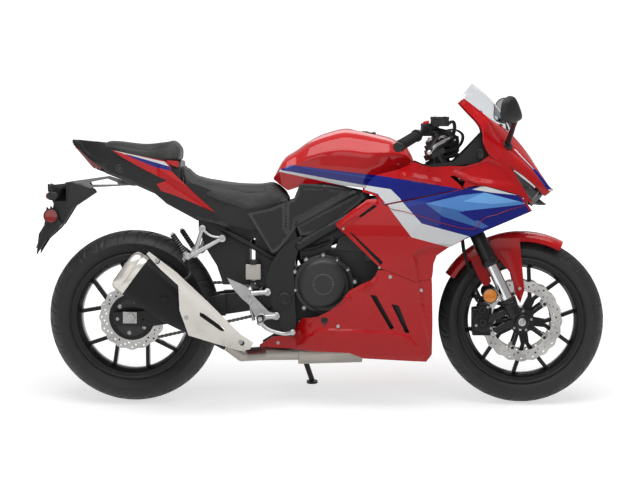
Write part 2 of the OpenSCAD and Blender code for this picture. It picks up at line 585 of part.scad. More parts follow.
// How far the nose is let down to rest on the cowls beside it
nose_drop = 1.1;
module nose_half() {
    rows = len(nose_mid) - 1;
    grid = [for (i = [0:rows]) [for (v = steps(5))
        let (p = mix(nose_mid[i], nose_out[i], v), b = 16 * sin(180 * v))
        [sx(p[0] + b * 0.6), p[1] - b * 0.5, p[2] + b * 0.6 - nose_drop]]];
    back = [for (r = grid) [for (p = r) p - [panel_t, 0, panel_t]]];
    shell(grid, back);
}
module nose_cowl() color("#c8101c") park() {
    nose_half();
    mirror([0, 1, 0]) nose_half();
}
module headlight() color("#d9dde2") park() {
    both_sides() hull() {
        translate([sx(1376), -112, 836]) sphere(r = 8, $fn = 24);
        translate([sx(1464), -46, 768]) sphere(r = 8, $fn = 24);
        translate([sx(1444), -66, 744]) sphere(r = 8, $fn = 24);
        translate([sx(1400), -60, 780]) sphere(r = 8, $fn = 24);
    }
    rod([sx(1440), -60, 762], [sx(1440), 60, 762], 10);
    hull() for (s = [-1, 1]) {
        translate([sx(1458), s * 26, 749]) sphere(r = 10, $fn = 24);
        translate([sx(1430), s * 40, 738]) sphere(r = 10, $fn = 24);
    }
}
// The bracket from the frame's head that carries the cowl, the lamps and the dash
module cowl_stay() color("#1b1b1d") park() {
    head = [steer_x - 872 * sin(rake), 0, 872 * cos(rake)] + [head_r + seat + 1.7, 0, 9] ;
    bar = [sx(1300), 0, 822];
    rod(head, bar, 13);
    reach = fairing_y(1300, 822) - panel_t - 6.2;
    cross_pin(bar[0], bar[2], 10, -reach, reach);
    rod(bar, [sx(1440) - 8.5, 0, 770], 9);
    rod(bar, [sx(1283), 0, 903], 10);
}
screen_n = 10;
screen_t = 3;
module windscreen() color([0.8, 0.85, 0.88, 0.4]) park() {
    lift = 0.35;
    grid = [for (u = steps(8)) [for (v = steps(screen_n)) let (c = 2 * v - 1,
        low = [1386 - 190 * pow(abs(c), 1.7), -138 * c, 972 + 126 * pow(abs(c), 1.5)],
        high = [1228 - 34 * c * c, -96 * c, 1158 - 46 * c * c], p = mix(low, high, u))
        [sx(p[0] + lift + 14 * sin(180 * u)), p[1], p[2] + lift + 14 * sin(180 * u)]]];
    back = [for (r = grid) [for (p = r) p - [screen_t, 0, screen_t]]];
    shell(grid, back);
}
module dash_panel() color("#1b1b1d") park() {
    side_plate([[sx(1262), 900], [sx(1290), 905], [sx(1316), 960], [sx(1296), 1000], [sx(1270), 985]],
        -76, 76);
}
module mirrors() color("#1c1c1e") park() both_sides() {
    rod([sx(1347), -112.5, 932.8], [sx(1377), -258, 1040], 9);
    hull() for (p = [[1335, -262, 1100], [1384, -330, 1030], [1340, -330, 1096], [1376, -250, 1024]])
        translate([sx(p[0]), p[1], p[2]]) sphere(r = 13, $fn = 24);
}

// ---------------------------------------------------------------- footrests and small fittings
module passenger_steps() color("#b9bcc0") park() {
    both_sides() side_plate([[254, 650], [346, 606], [334, 590], [262, 528], [200, 512], [184, 520],
        [196, 536], [238, 560]], -(step_y + 10), -step_y);
    both_sides() rod([206, -(step_y + 10), 524], [206, -(step_y + 90), 524], 11);
    hang = muffler_at(0.6) + muffler_up * (148 / 2 + 9 + 1.2);
    rod([200, -(step_y + 5), 520], hang, 9);
    translate(hang) sphere(r = 9.4, $fn = 32);
}
module rider_steps() color("#b9bcc0") park() {
    both_sides() side_plate([[500, 432], [524, 420], [520, 330], [500, 306], [462, 296], [440, 318],
        [404, 372], [352, 448], [362, 462], [416, 440], [430, 412]],
        -(plate_y + plate_t + 26), -(plate_y + plate_t + 18));
    both_sides() rod([474, -(plate_y + plate_t + 26), 318], [474, -(plate_y + plate_t + 106), 318], 11);
    both_sides() rod([512, -(plate_y + plate_t + 18), 380], [512, -(plate_y + plate_t + fit), 380], 12);
    rod([474, -(plate_y + plate_t + 40), 318], [590, -(plate_y + plate_t + 52), 232], 8);
    rod([474, plate_y + plate_t + 40, 318], [608, plate_y + plate_t + 56, 304], 8);
}
module rear_reservoir() color("#d8d2c4") park()
    side_plate([[414, 450], [468, 450], [468, 506], [414, 506]], -112, -72 - seat);
module rear_caliper() color("#26272a") park() difference() {
    side_plate([[66, 372], [70, 436], [120, 420], [142, 380], [140, arm_top(140) + seat],
        [104, arm_top(104) + seat]], -rear_disc_y - 20, -rear_disc_y + 18);
    translate([0, 0, rear_axle_z]) cross_pin(0, 0, rear_disc_d / 2 + clear,
        -rear_disc_y - disc_t / 2 - clear, -rear_disc_y + disc_t / 2 + clear, 96);
}

// ---------------------------------------------------------------- front end
module steering_yokes() color("#1d1d1f") park() on_steering() difference() {
    union() {
        translate([0, 0, yoke_low_s]) linear_extrude(height = yoke_t)
            polygon([[-26, -30], [0, -leg_y - 34], [52, -leg_y - 34], [56, 0], [52, leg_y + 34],
            [0, leg_y + 34], [-26, 30]]);
        translate([0, 0, yoke_top_s]) linear_extrude(height = yoke_t - 6)
            polygon([[-28, -30], [0, -leg_y - 34], [52, -leg_y - 34], [50, 0], [52, leg_y + 34],
            [0, leg_y + 34], [-28, 30]]);
        translate([0, 0, yoke_low_s]) cylinder(r = stem_r, h = yoke_top_s - yoke_low_s + 10, $fn = 48);
        translate([0, 0, yoke_top_s + 10]) cylinder(r = 20, h = 18, $fn = 6);
    }
    for (s = [-1, 1]) translate([leg_x, s * leg_y, 0])
        cylinder(r = fork_outer_r + fit, h = 1200, $fn = 64);
}
module fork_legs() color("#1d1d1f") park() on_steering() both_sides() difference() {
    union() {
        translate([leg_x, -leg_y, chrome_top_s])
            cylinder(r = fork_outer_r, h = leg_top_s - chrome_top_s, $fn = 64);
        translate([leg_x, -leg_y, chrome_low_s - 20])
            cylinder(r = fork_inner_r, h = chrome_top_s - chrome_low_s + 20, $fn = 64);
        translate([leg_x, -leg_y, axle_s + 18])
            cylinder(r = fork_inner_r + 4, h = chrome_low_s - axle_s - 18, $fn = 64);
        translate([fork_offset, -leg_y + 18, axle_s]) rotate([90, 0, 0])
            cylinder(r = 26, h = 36, $fn = 64);
        translate([leg_x - 22, -leg_y - 10, axle_s]) cube([44, 20, 40]);
        for (h = [6, 50]) translate([leg_x - 118, -(disc_y + 19 + seat + 10), axle_s + h])
            cube([112, 10, 20]);
    }
    translate([fork_offset, 0, axle_s]) rotate([90, 0, 0])
        cylinder(r = front_axle_r + fit, h = 400, $fn = 48);
}
module front_axle() color("#9a9c9f") park() difference() {
    union() {
        cross_pin(wheelbase, front_axle_z, front_axle_r, -(leg_y + 24), leg_y + 24);
        for (s = [-1, 1]) cross_pin(wheelbase, front_axle_z, 14, s * (leg_y + 22) - 4 + fit * s,
            s * (leg_y + 22) + 4 + fit * s);
    }
    cross_pin(wheelbase, front_axle_z, front_axle_bore_r, -200, 200);
}
module front_calipers() color("#232427") park() both_sides() translate([wheelbase, 0, front_axle_z])
    difference() {
    side_plate([[-178, -52], [-112, -52], [-108, 48], [-178, 40]], -(disc_y + 19), -(disc_y - 19));
    cross_pin(0, 0, front_disc_d / 2 + clear, -disc_y - disc_t / 2 - clear,
        -disc_y + disc_t / 2 + clear, 96);
}
bar_end = [969, -345, 934];
bar_in = [1092, -131, 1008];
grip_from = 0.56;
module handlebars() color("#202022") park() both_sides() {
    end = [sx(bar_end[0]), bar_end[1], bar_end[2]];
    in = [sx(bar_in[0]), bar_in[1], bar_in[2]];
    rod(end, in, bar_r);
    rod(end, mix(in, end, grip_from - 0.12), grip_r);
    rod(end - unit(in - end) * 14, end, grip_r + 1);
    rod(in, [steer_x - 1016 * sin(rake) + leg_x * cos(rake), -leg_y - 43, 1016 * cos(rake)
        + leg_x * sin(rake)], 11.5);
    translate(in) sphere(r = 12, $fn = 32);
    on_steering() difference() {
        translate([leg_x, -leg_y, yoke_top_s + yoke_t - 6 + seat])
            cylinder(r = fork_outer_r + 10, h = 30, $fn = 64);
        translate([leg_x, -leg_y, 0]) cylinder(r = fork_outer_r + fit, h = 1200, $fn = 64);
    }
}
module hand_controls() color("#1a1a1c") park() {
    both_sides() {
        difference() {
            translate([sx(1072), -168, 992]) rotate([0, 0, 30]) cube([44, 30, 46], center = true);
            rod([sx(bar_end[0]), bar_end[1], bar_end[2]], [sx(bar_in[0]), bar_in[1], bar_in[2]],
                bar_r + fit);
        }
        rod([sx(1086), -172, 988], [sx(1112), -170, 980], 8);
        rod([sx(1112), -166, 982], [sx(1078), -338, 920], 6);
    }
    hull() {
        translate([sx(1098), -176, 1004]) cylinder(r = 19, h = 26, $fn = 32);
        translate([sx(1126), -186, 1004]) cylinder(r = 19, h = 26, $fn = 32);
    }
}
fender_w = leg_y - fork_outer_r - 2 * seat;
module front_fender() color("#c8101c") park() {
    wrap = [for (k = steps(14)) mix(62, 148, k)];
    r_in = front_r + 16;
    ring = [for (k = steps(12)) let (b = 180 * k) [cos(b), sin(b)]];
    grid = [for (a = wrap) [for (q = ring) let (w = fender_w, h = 34 * pow(q[1], 0.7))
        [wheelbase + (r_in - 26 + h) * cos(a), -w * q[0], front_axle_z + (r_in - 26 + h) * sin(a)]]];
    back = [for (a = wrap) [for (q = ring) let (w = fender_w - 3, h = 34 * pow(q[1], 0.7) - 3)
        [wheelbase + (r_in - 26 + h) * cos(a), -w * q[0], front_axle_z + (r_in - 26 + h) * sin(a)]]];
    shell(grid, back);
    both_sides() side_plate([for (p =
        [[-124, 285], [-80, 300], [-8, 300], [10, 112], [-5, 64], [-22, 100], [-38, 170], [-80, 222],
        [-120, 222]])
        [wheelbase + p[0], front_axle_z + p[1]]], -(leg_y - fork_outer_r - seat),
            -(leg_y - fork_outer_r - seat - 3));
}
module brake_hoses() color("#151516") park() {
    low = front_axle_z + 45;
    both_sides() tube([[wheelbase - 142, -(disc_y + 13), low + seat],
        [wheelbase - 144, -(disc_y + 13), low + 26], [wheelbase - 172, -(leg_y + 12), 430],
        [wheelbase - 206, -(leg_y + 22), 540], [steer_x - 320, -(leg_y + 12), 630],
        [steer_x - 741 * sin(rake) - 5, -(leg_y + 4), 741 * cos(rake) - 3]], 5);
}

// ---------------------------------------------------------------- side stand
// The stand's leg runs from its pivot on the frame's foot to the ground, out and slightly forward
module side_stand() color("#1e1e20") park() {
    foot = [stand_foot[0], stand_foot[1] * cos(lean) - 9 * sin(lean), stand_foot[1] * sin(lean)
        + 9 * cos(lean)];
    rod(stand_pivot, foot, stand_w / 2);
    rod(stand_pivot - stand_dir * stand_barrel / 2, stand_pivot + stand_dir * stand_barrel / 2, 17, 48);
    translate(foot) rotate([lean, 0, 0]) translate([0, 0, -9])
        cylinder(r = stand_foot_r, h = 8, $fn = 48);
}

frame();
subframe();
swingarm();
rear_axle();
crankcase();
cylinder_head();
engine_covers();
radiator();
exhaust_pipe();
muffler();
muffler_shield();
muffler_end_cap();
fuel_tank();
fuel_cap();
rider_seat();
pillion_seat();
tail_cowl();
tail_light();
tail_under_cover();
plate_hanger();
inner_mudguard();
side_covers();
side_fairings();
lower_fairings();
upper_cowls();
nose_cowl();
cowl_stay();
headlight();
windscreen();
dash_panel();
mirrors();
passenger_steps();
rider_steps();
rear_reservoir();
rear_caliper();
drive_chain();
shock_absorber();
steering_yokes();
fork_legs();
handlebars();
hand_controls();
front_fender();
front_calipers();
front_axle();
brake_hoses();
front_tyre();
front_rim();
front_discs();
rear_tyre();
rear_rim();
rear_disc();
rear_sprocket();
side_stand();
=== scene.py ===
import json
import math

import bmesh
import bpy
import numpy as np
from mathutils import Matrix, Vector
from mathutils.geometry import delaunay_2d_cdt


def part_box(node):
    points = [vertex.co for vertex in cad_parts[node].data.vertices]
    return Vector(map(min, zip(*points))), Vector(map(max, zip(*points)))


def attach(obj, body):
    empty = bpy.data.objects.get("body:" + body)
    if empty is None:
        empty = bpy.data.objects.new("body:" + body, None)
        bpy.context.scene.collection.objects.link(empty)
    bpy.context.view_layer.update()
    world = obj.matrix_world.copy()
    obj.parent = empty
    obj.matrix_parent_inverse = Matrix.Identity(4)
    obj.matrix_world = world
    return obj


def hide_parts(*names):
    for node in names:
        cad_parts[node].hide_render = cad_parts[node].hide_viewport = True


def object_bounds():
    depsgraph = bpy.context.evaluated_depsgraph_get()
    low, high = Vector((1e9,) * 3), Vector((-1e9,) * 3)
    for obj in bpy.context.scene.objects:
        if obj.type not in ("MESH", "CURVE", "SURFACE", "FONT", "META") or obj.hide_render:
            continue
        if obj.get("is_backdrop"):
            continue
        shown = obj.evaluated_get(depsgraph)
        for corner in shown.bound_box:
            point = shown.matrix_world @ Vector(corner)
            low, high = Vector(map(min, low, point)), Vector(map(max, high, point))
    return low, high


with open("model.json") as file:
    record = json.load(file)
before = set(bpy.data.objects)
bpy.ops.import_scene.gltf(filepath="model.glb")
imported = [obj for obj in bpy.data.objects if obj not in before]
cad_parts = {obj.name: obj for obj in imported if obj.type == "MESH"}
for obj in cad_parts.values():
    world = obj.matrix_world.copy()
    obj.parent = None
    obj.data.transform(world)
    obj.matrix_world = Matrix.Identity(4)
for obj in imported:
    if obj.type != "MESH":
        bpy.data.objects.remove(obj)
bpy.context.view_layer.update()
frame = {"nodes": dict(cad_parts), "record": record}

# ---------------------------------------------------------------- the machine as it stands
# It leans on its side stand, so its own left and up are not the room's. Everything below is measured in
# millimetres along its forward, left and up, from the ground under the rear axle.
joints = {j["name"]: j for j in frame["record"]["behaviour"]["joints"]}
left = Vector(joints["rear_wheel_spin"]["axis"])
forward = Vector((1, 0, 0))
up = forward.cross(left)
axle_spot = Vector(joints["rear_wheel_spin"]["pos_m"])
rear_axle_h = 1000 * axle_spot.z / up.z
stance = Matrix((forward, left, up)).transposed()
machine = Matrix.Translation(axle_spot - up * rear_axle_h / 1000) @ stance.to_4x4() @ Matrix.Scale(0.001, 4)


def machine_point(spot):
    """A place in the room as millimetres along the machine."""
    return machine.inverted() @ Vector(spot)


front_axle_x, _, front_axle_h = machine_point(joints["front_wheel_spin"]["pos_m"])
steer_spot = machine_point(joints["steering"]["pos_m"])
steer_up = stance.transposed() @ Vector(joints["steering"]["axis"])
steer_ahead = Vector((steer_up.z, 0, -steer_up.x))

# ---------------------------------------------------------------- studio
# A pale sweep of matt board under three soft lamps, one over the machine and one on each side of it. The
# machine is seen from its right through a long lens.
turn, dip = 0.03835, 0.04878
camera_place, lens_mm = Vector((1013.6, -8738.2, 1016.1)), 134.87
aim = Vector((-math.sin(turn) * math.cos(dip), math.cos(turn) * math.cos(dip), -math.sin(dip)))
across = Vector((math.cos(turn), math.sin(turn), 0))
camera = bpy.data.objects.new("camera", bpy.data.cameras.new("camera"))
camera.data.lens = lens_mm
camera.data.clip_end = 200
camera_turn = stance @ Matrix((across, across.cross(aim), -aim)).transposed()
camera.matrix_world = Matrix.Translation(machine @ camera_place) @ camera_turn.to_4x4()
bpy.context.collection.objects.link(camera)
bpy.context.scene.camera = camera
bpy.context.scene.view_settings.view_transform = "Standard"


def soft_lamp(name, spot, target, size, power):
    """A soft box of so many watts, aimed at a place."""
    lamp = bpy.data.objects.new(name, bpy.data.lights.new(name, "AREA"))
    lamp.data.shape = "RECTANGLE"
    lamp.data.size, lamp.data.size_y = size
    lamp.data.energy = power
    lamp.location = spot
    lamp.rotation_euler = (Vector(target) - Vector(spot)).to_track_quat("-Z", "Y").to_euler()
    bpy.context.collection.objects.link(lamp)


def math_node(tree, operation, *values, clamp=False):
    """One sum on masks or numbers."""
    node = tree.nodes.new("ShaderNodeMath")
    node.operation, node.use_clamp = operation, clamp
    for socket, value in zip(node.inputs, values):
        if isinstance(value, (int, float)):
            socket.default_value = value
        else:
            tree.links.new(value, socket)
    return node.outputs[0]


def ranged(tree, mask, into, start=(0.0, 1.0)):
    """Spreads a mask over a range of values."""
    node = tree.nodes.new("ShaderNodeMapRange")
    node.inputs["From Min"].default_value, node.inputs["From Max"].default_value = start
    node.inputs["To Min"].default_value, node.inputs["To Max"].default_value = into
    tree.links.new(mask, node.inputs["Value"])
    return node.outputs["Result"]


soft_lamp("lamp_over", (0.1, -0.6, 3.4), (0, 0, 0.5), (4.2, 2.4), 98)
soft_lamp("lamp_side", (-0.6, -4.2, 1.9), (0.1, 0, 0.6), (3.6, 1.6), 20)
soft_lamp("lamp_back", (0.4, 3.6, 2.6), (0, 0, 0.6), (3.6, 1.6), 24)

room = bpy.data.worlds.new("room")
bpy.context.scene.world = room
room.use_nodes = True
tree = room.node_tree
tree.nodes.clear()
rays = tree.nodes.new("ShaderNodeLightPath").outputs
reflected = math_node(tree, "MULTIPLY_ADD", rays["Is Glossy Ray"], 0.3, rays["Is Camera Ray"])
seen = math_node(tree, "ADD", reflected, rays["Is Transmission Ray"], clamp=True)
lit, plain = tree.nodes.new("ShaderNodeBackground"), tree.nodes.new("ShaderNodeBackground")
lit.inputs["Color"].default_value = (0.95, 0.97, 1, 1)
lit.inputs["Strength"].default_value = 0.2
plain.inputs["Color"].default_value = (1, 1, 1, 1)
pick = tree.nodes.new("ShaderNodeMixShader")
for source, socket in zip((seen, lit.outputs[0], plain.outputs[0]), pick.inputs):
    tree.links.new(source, socket)
tree.links.new(pick.outputs[0], tree.nodes.new("ShaderNodeOutputWorld").inputs["Surface"])

sweep = bpy.data.meshes.new("floor")
sweep.from_pydata([(-30, -30, 0), (30, -30, 0), (30, 60, 0), (-30, 60, 0)], [], [(0, 1, 2, 3)])
floor = bpy.data.objects.new("floor", sweep)
bpy.context.collection.objects.link(floor)
pale = bpy.data.materials.new("pale_floor")
pale.use_nodes = True
tree = pale.node_tree
tree.nodes.clear()
matt, glow = tree.nodes.new("ShaderNodeBsdfDiffuse"), tree.nodes.new("ShaderNodeEmission")
matt.inputs["Color"].default_value = (0.62, 0.62, 0.62, 1)
reach = tree.nodes.new("ShaderNodeVectorMath")
reach.operation = "LENGTH"
tree.links.new(tree.nodes.new("ShaderNodeNewGeometry").outputs["Position"], reach.inputs[0])
paler = ranged(tree, reach.outputs["Value"], (0.62, 1.0), (1.3, 3.0))
undimmed = math_node(tree, "SUBTRACT", 1, tree.nodes.new("ShaderNodeLightPath").outputs["Is Diffuse Ray"])
tree.links.new(math_node(tree, "MULTIPLY", undimmed, paler), glow.inputs["Strength"])
both = tree.nodes.new("ShaderNodeAddShader")
for source, socket in zip((matt, glow), both.inputs):
    tree.links.new(source.outputs[0], socket)
tree.links.new(both.outputs[0], tree.nodes.new("ShaderNodeOutputMaterial").inputs["Surface"])
sweep.materials.append(pale)
floor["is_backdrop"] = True

# ---------------------------------------------------------------- frame, subframe and swingarm
# Welded steel tube and pressed plate, with a satin black coat that wears grey on its edges. The tubes stay
# as the construction model has them, with their corners eased.


def node_group(name, ins, outs):
    """An empty shader group with its named sockets."""
    group = bpy.data.node_groups.new(name, "ShaderNodeTree")
    for label, kind, value in ins:
        socket = group.interface.new_socket(label, in_out="INPUT", socket_type=kind)
        socket.default_value = value
    for label, kind in outs:
        group.interface.new_socket(label, in_out="OUTPUT", socket_type=kind)
    return group, group.nodes.new("NodeGroupInput"), group.nodes.new("NodeGroupOutput")


# Cast or sprayed skin: fine grain for the bump, broad mottling for tone, and a mask of worn edges.
skin, entry, leave = node_group("skin_grain", [("Grain size", "NodeSocketFloat", 900.0),
    ("Mottle size", "NodeSocketFloat", 14.0)], [("Height", "NodeSocketFloat"), ("Tone", "NodeSocketFloat"),
    ("Edge", "NodeSocketFloat")])
where = skin.nodes.new("ShaderNodeTexCoord")
fine, broad = skin.nodes.new("ShaderNodeTexNoise"), skin.nodes.new("ShaderNodeTexNoise")
fine.inputs["Detail"].default_value, broad.inputs["Detail"].default_value = 3, 4
skin.links.new(entry.outputs["Grain size"], fine.inputs["Scale"])
skin.links.new(entry.outputs["Mottle size"], broad.inputs["Scale"])
for noise in (fine, broad):
    skin.links.new(where.outputs["Object"], noise.inputs["Vector"])
shape = skin.nodes.new("ShaderNodeNewGeometry")
worn = math_node(skin, "MULTIPLY", math_node(skin, "SUBTRACT", shape.outputs["Pointiness"], 0.53), 9,
    clamp=True)
skin.links.new(fine.outputs["Fac"], leave.inputs["Height"])
skin.links.new(broad.outputs["Fac"], leave.inputs["Tone"])
skin.links.new(math_node(skin, "MULTIPLY", worn, broad.outputs["Fac"]), leave.inputs["Edge"])


def mix_colour(tree, mask, a, b):
    """Fades from one colour to another by a mask."""
    node = tree.nodes.new("ShaderNodeMix")
    node.data_type = "RGBA"
    for socket, value in ((node.inputs[0], mask), (node.inputs[6], a), (node.inputs[7], b)):
        if isinstance(value, (int, float)):
            socket.default_value = value
        elif isinstance(value, tuple):
            socket.default_value = value + (1,) * (4 - len(value))
        else:
            tree.links.new(value, socket)
    return node.outputs[2]


def blank_material(name, slot=None):
    """A new material that names the slot its pieces fill."""
    material = bpy.data.materials.new(name)
    material["slot"] = slot or name
    material.use_nodes = True
    return material, material.node_tree, material.node_tree.nodes["Principled BSDF"]


def raised(tree, height, depth, strength):
    """Fine relief, so many millimetres deep."""
    bump = tree.nodes.new("ShaderNodeBump")
    bump.inputs["Distance"].default_value, bump.inputs["Strength"].default_value = depth / 1000, strength
    tree.links.new(height, bump.inputs["Height"])
    return bump.outputs["Normal"]


def finish(name, colour, rough, metal=0.0, coat=0.0, grain=(900, 0.1), worn=None, spread=0.25, slot=None,
        mottle=14, shine=0.2):
    """One real finish: a mottled colour, a roughness range, grain (size, depth in mm) and worn edges."""
    material, tree, shader = blank_material(name, slot)
    shader.inputs["Metallic"].default_value = metal
    shader.inputs["Coat Weight"].default_value = coat
    shader.inputs["Coat Roughness"].default_value = 0.06
    shader.inputs["Specular IOR Level"].default_value = shine
    cast = tree.nodes.new("ShaderNodeGroup")
    cast.node_tree = skin
    cast.inputs["Grain size"].default_value = grain[0]
    cast.inputs["Mottle size"].default_value = mottle
    deep = tuple(c * (1 - spread) for c in colour)
    light = tuple(min(1, c * (1 + spread)) for c in colour)
    base = mix_colour(tree, cast.outputs["Tone"], deep, light)
    if worn:
        base = mix_colour(tree, cast.outputs["Edge"], base, worn)
    tree.links.new(base, shader.inputs["Base Color"])
    tree.links.new(ranged(tree, cast.outputs["Tone"], rough, (0.3, 0.7)), shader.inputs["Roughness"])
    tree.links.new(raised(tree, cast.outputs["Height"], grain[1], 0.6), shader.inputs["Normal"])
    return material


def dress(material, *names, ease=0.0):
    """Gives construction pieces their finish, and eases their corners by so many millimetres."""
    for name in names:
        piece = frame["nodes"][name]
        piece.data.materials.clear()
        piece.data.materials.append(material)
        if ease:
            weld = piece.modifiers.new("weld", "WELD")
            weld.merge_threshold = 0.00002
            round_off = piece.modifiers.new("ease", "BEVEL")
            round_off.width, round_off.segments = ease / 1000, 2
            round_off.limit_method, round_off.angle_limit = "ANGLE", math.radians(38)


frame_black = finish("frame_black", (0.014, 0.014, 0.0145), (0.3, 0.44), grain=(1400, 0.05),
    worn=(0.1, 0.1, 0.1), shine=0.3)
dress(frame_black, "frame", "subframe", "swingarm", "cowl_stay", "side_stand", "steering_yokes", ease=1.6)


def add_piece(name, bm, body, material, *nodes, sharp=40, ease=0.0):
    """A finished piece that rides on a body and stands for the construction pieces named."""
    bmesh.ops.recalc_face_normals(bm, faces=bm.faces)
    mesh = bpy.data.meshes.new(name)
    bm.to_mesh(mesh)
    bm.free()
    mesh.transform(machine)
    mesh.shade_smooth()
    mesh.set_sharp_from_angle(angle=math.radians(sharp))
    mesh.materials.append(material)
    piece = bpy.data.objects.new(name, mesh)
    bpy.context.collection.objects.link(piece)
    if ease:
        round_off = piece.modifiers.new("ease", "BEVEL")
        round_off.width, round_off.segments = ease / 1000, 2
        round_off.limit_method, round_off.angle_limit = "ANGLE", math.radians(sharp)
    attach(piece, body)
    if nodes:
        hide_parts(*nodes)
    return piece


def frame_along(axis):
    """A direction and two more square to it."""
    axis = Vector(axis).normalized()
    side = axis.cross(Vector((0, 0, 1)) if abs(axis.z) < 0.9 else Vector((1, 0, 0))).normalized()
    return axis, side, axis.cross(side)


def turned(bm, spot, axis, profile, steps=32, hollow=False):
    """A lathe shape: profile points (distance along the axis, radius); a hollow one is a closed ring."""
    axis, side, other = frame_along(axis)
    rings = []
    for along, radius in profile:
        centre = Vector(spot) + axis * along
        if radius < 0.01:
            rings.append([bm.verts.new(centre)])
        else:
            rings.append([bm.verts.new(centre + radius * (side * math.cos(a) + other * math.sin(a)))
                for a in (2 * math.pi * i / steps for i in range(steps))])
    for a, b in zip(rings, rings[1:] + rings[:1] * hollow):
        for i in range(steps):
            j = (i + 1) % steps
            ring = [a[i % len(a)], a[j % len(a)], b[j % len(b)], b[i % len(b)]]
            ring = [v for k, v in enumerate(ring) if v not in ring[:k]]
            if len(ring) > 2:
                bm.faces.new(ring)
    for ring in (rings[0], rings[-1]):
        if len(ring) > 1 and not hollow:
            bm.faces.new(ring)
    return bm


def bolt(bm, spot, axis, radius=6, height=5, sides=6):
    """A flanged hexagon bolt head, or a socket head with more sides."""
    turned(bm, spot, axis, [(-3, radius * 1.35), (1.5, radius * 1.35), (2.0, radius * 1.25)], 24)
    turned(bm, Vector(spot) + Vector(axis).normalized() * 1.6, axis, [(0, radius), (height - 0.8, radius),
        (height, radius * 0.86), (height, radius * 0.5), (height - 1.6, radius * 0.45), (height - 1.6, 0)],
        sides)


zinc = finish("bolt_zinc", (0.42, 0.41, 0.4), (0.25, 0.42), metal=1.0, grain=(1500, 0.03),
    slot="plain_alloy")
bm = bmesh.new()
for side in (-1, 1):
    for x, z in ((530, 523), (554, 388), (612, 600)):
        bolt(bm, (x, side * 140, z), (0, side, 0), 6.5, 5)
    for x, z in ((430, 362), (345, 350)):
        bolt(bm, (x, side * 116, z), (0, side, 0), 4, 4)
    turned(bm, (557, side * 139, 385), (0, side, 0), [(0, 22), (12.5, 22), (14.5, 19.5), (14.5, 13),
        (13, 11.5), (13, 0)], 36)
add_piece("frame_bolts", bm, "root", frame_black)

# ---------------------------------------------------------------- wheels
# Cast alloy wheels in gloss black. The tyres are soft road rubber with slanting rain grooves, each
# moulded in one piece and seated on the rim's beads.
wheel_black = finish("wheel_black", (0.009, 0.009, 0.0095), (0.24, 0.36), coat=0.35, grain=(1800, 0.03),
    worn=(0.06, 0.06, 0.06))
dress(wheel_black, "front_rim", "rear_rim", ease=1.4)
tyre_rubber = finish("tyre_rubber", (0.026, 0.026, 0.0265), (0.4, 0.6), grain=(2600, 0.12), spread=0.4,
    mottle=30, shine=0.34)


def treaded_tyre(name, body, node, axle_x, axle_h, radius, width, crown, bead, bead_r, pitches):
    """Outer skin from bead to bead, with grooves cut into it, closed by the inner bead edge."""
    around, half = 720, 26
    wall = bead_r + (radius - bead_r) * 0.52
    edge = math.asin(min(1, (width / 2 - 2) / crown))
    section = [(bead_r + 1, bead - 9), (bead_r + 1, bead), (bead_r + 7, bead + 1.5),
        (bead_r + 14, bead + 1.5), (bead_r + 17, bead + 4), ((wall + bead_r + 17) / 2,
        (width / 2 + bead + 8) / 2), (wall, width / 2 - 0.4)]
    section += [(radius - crown + crown * math.cos(a), crown * math.sin(a))
        for a in np.linspace(edge, 0, half)[1:]]
    section = section + [(r, -y) for r, y in section[-2::-1]]
    bm = bmesh.new()
    rings = []
    for i in range(around):
        a = 2 * math.pi * i / around
        ring = []
        for r, y in section:
            out = abs(y) / (width / 2)
            cut = 0
            if r > wall:
                beat = (i / around * pitches + (0.5 if y > 0 else 0)) % 1
                slant = 0.12 + 0.62 * (out - 0.15)
                gap = abs(beat - slant)
                if 0.16 < out < 0.86 and gap < 0.075:
                    cut = 3.2
                gap = abs((beat + 0.5) % 1 - 0.2 - 0.3 * (out - 0.4))
                if 0.42 < out < 0.93 and gap < 0.05:
                    cut = 2.6
            ring.append((axle_x + (r - cut) * math.cos(a), y, axle_h + (r - cut) * math.sin(a)))
        rings.append(ring)
    rows = [[bm.verts.new(p) for p in ring] for ring in rings]
    n = len(section)
    for i in range(around):
        a, b = rows[i], rows[(i + 1) % around]
        for k in range(n):
            bm.faces.new((a[k], a[(k + 1) % n], b[(k + 1) % n], b[k]))
    add_piece(name, bm, body, tyre_rubber, node, sharp=30)


front_r, rear_r = (500 * (high[0] - low[0]) for low, high in (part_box("front_tyre"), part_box("rear_tyre")))
treaded_tyre("front_tyre_rubber", "front_wheel", "front_tyre", front_axle_x, front_axle_h,
    radius=front_r - 0.2, width=119, crown=62, bead=44.5, bead_r=216, pitches=24)
treaded_tyre("rear_tyre_rubber", "rear_wheel", "rear_tyre", 0, rear_axle_h, radius=rear_r - 0.2, width=160,
    crown=84, bead=57, bead_r=216, pitches=24)
bm = bmesh.new()
for x, h, y in ((front_axle_x, front_axle_h, 50.8), (0, rear_axle_h, 63.3)):
    for side in (-1, 1):
        turned(bm, (x, side * y, h), (0, side, 0), [(-1, 219), (1.2, 220), (2.2, 223), (2.2, 225.4),
            (1.4, 227.4), (-1, 228.2)], 120, hollow=True)
    if x:
        add_piece("front_rim_lips", bm, "front_wheel", wheel_black, sharp=60)
        bm = bmesh.new()
add_piece("rear_rim_lips", bm, "rear_wheel", wheel_black, sharp=60)

# ---------------------------------------------------------------- brakes
# Drilled wave discs of brushed stainless steel float on silver buttons round a black carrier. Black
# two-pot calipers are bolted to the fork legs, and a single one sits over the rear disc.
disc_steel = finish("disc_steel", (0.56, 0.55, 0.53), (0.2, 0.34), metal=1.0, grain=(2200, 0.04),
    slot="plain_alloy")
cast_black = finish("caliper_black", (0.014, 0.014, 0.015), (0.4, 0.6), grain=(1600, 0.15),
    worn=(0.14, 0.14, 0.14), slot="frame_black")


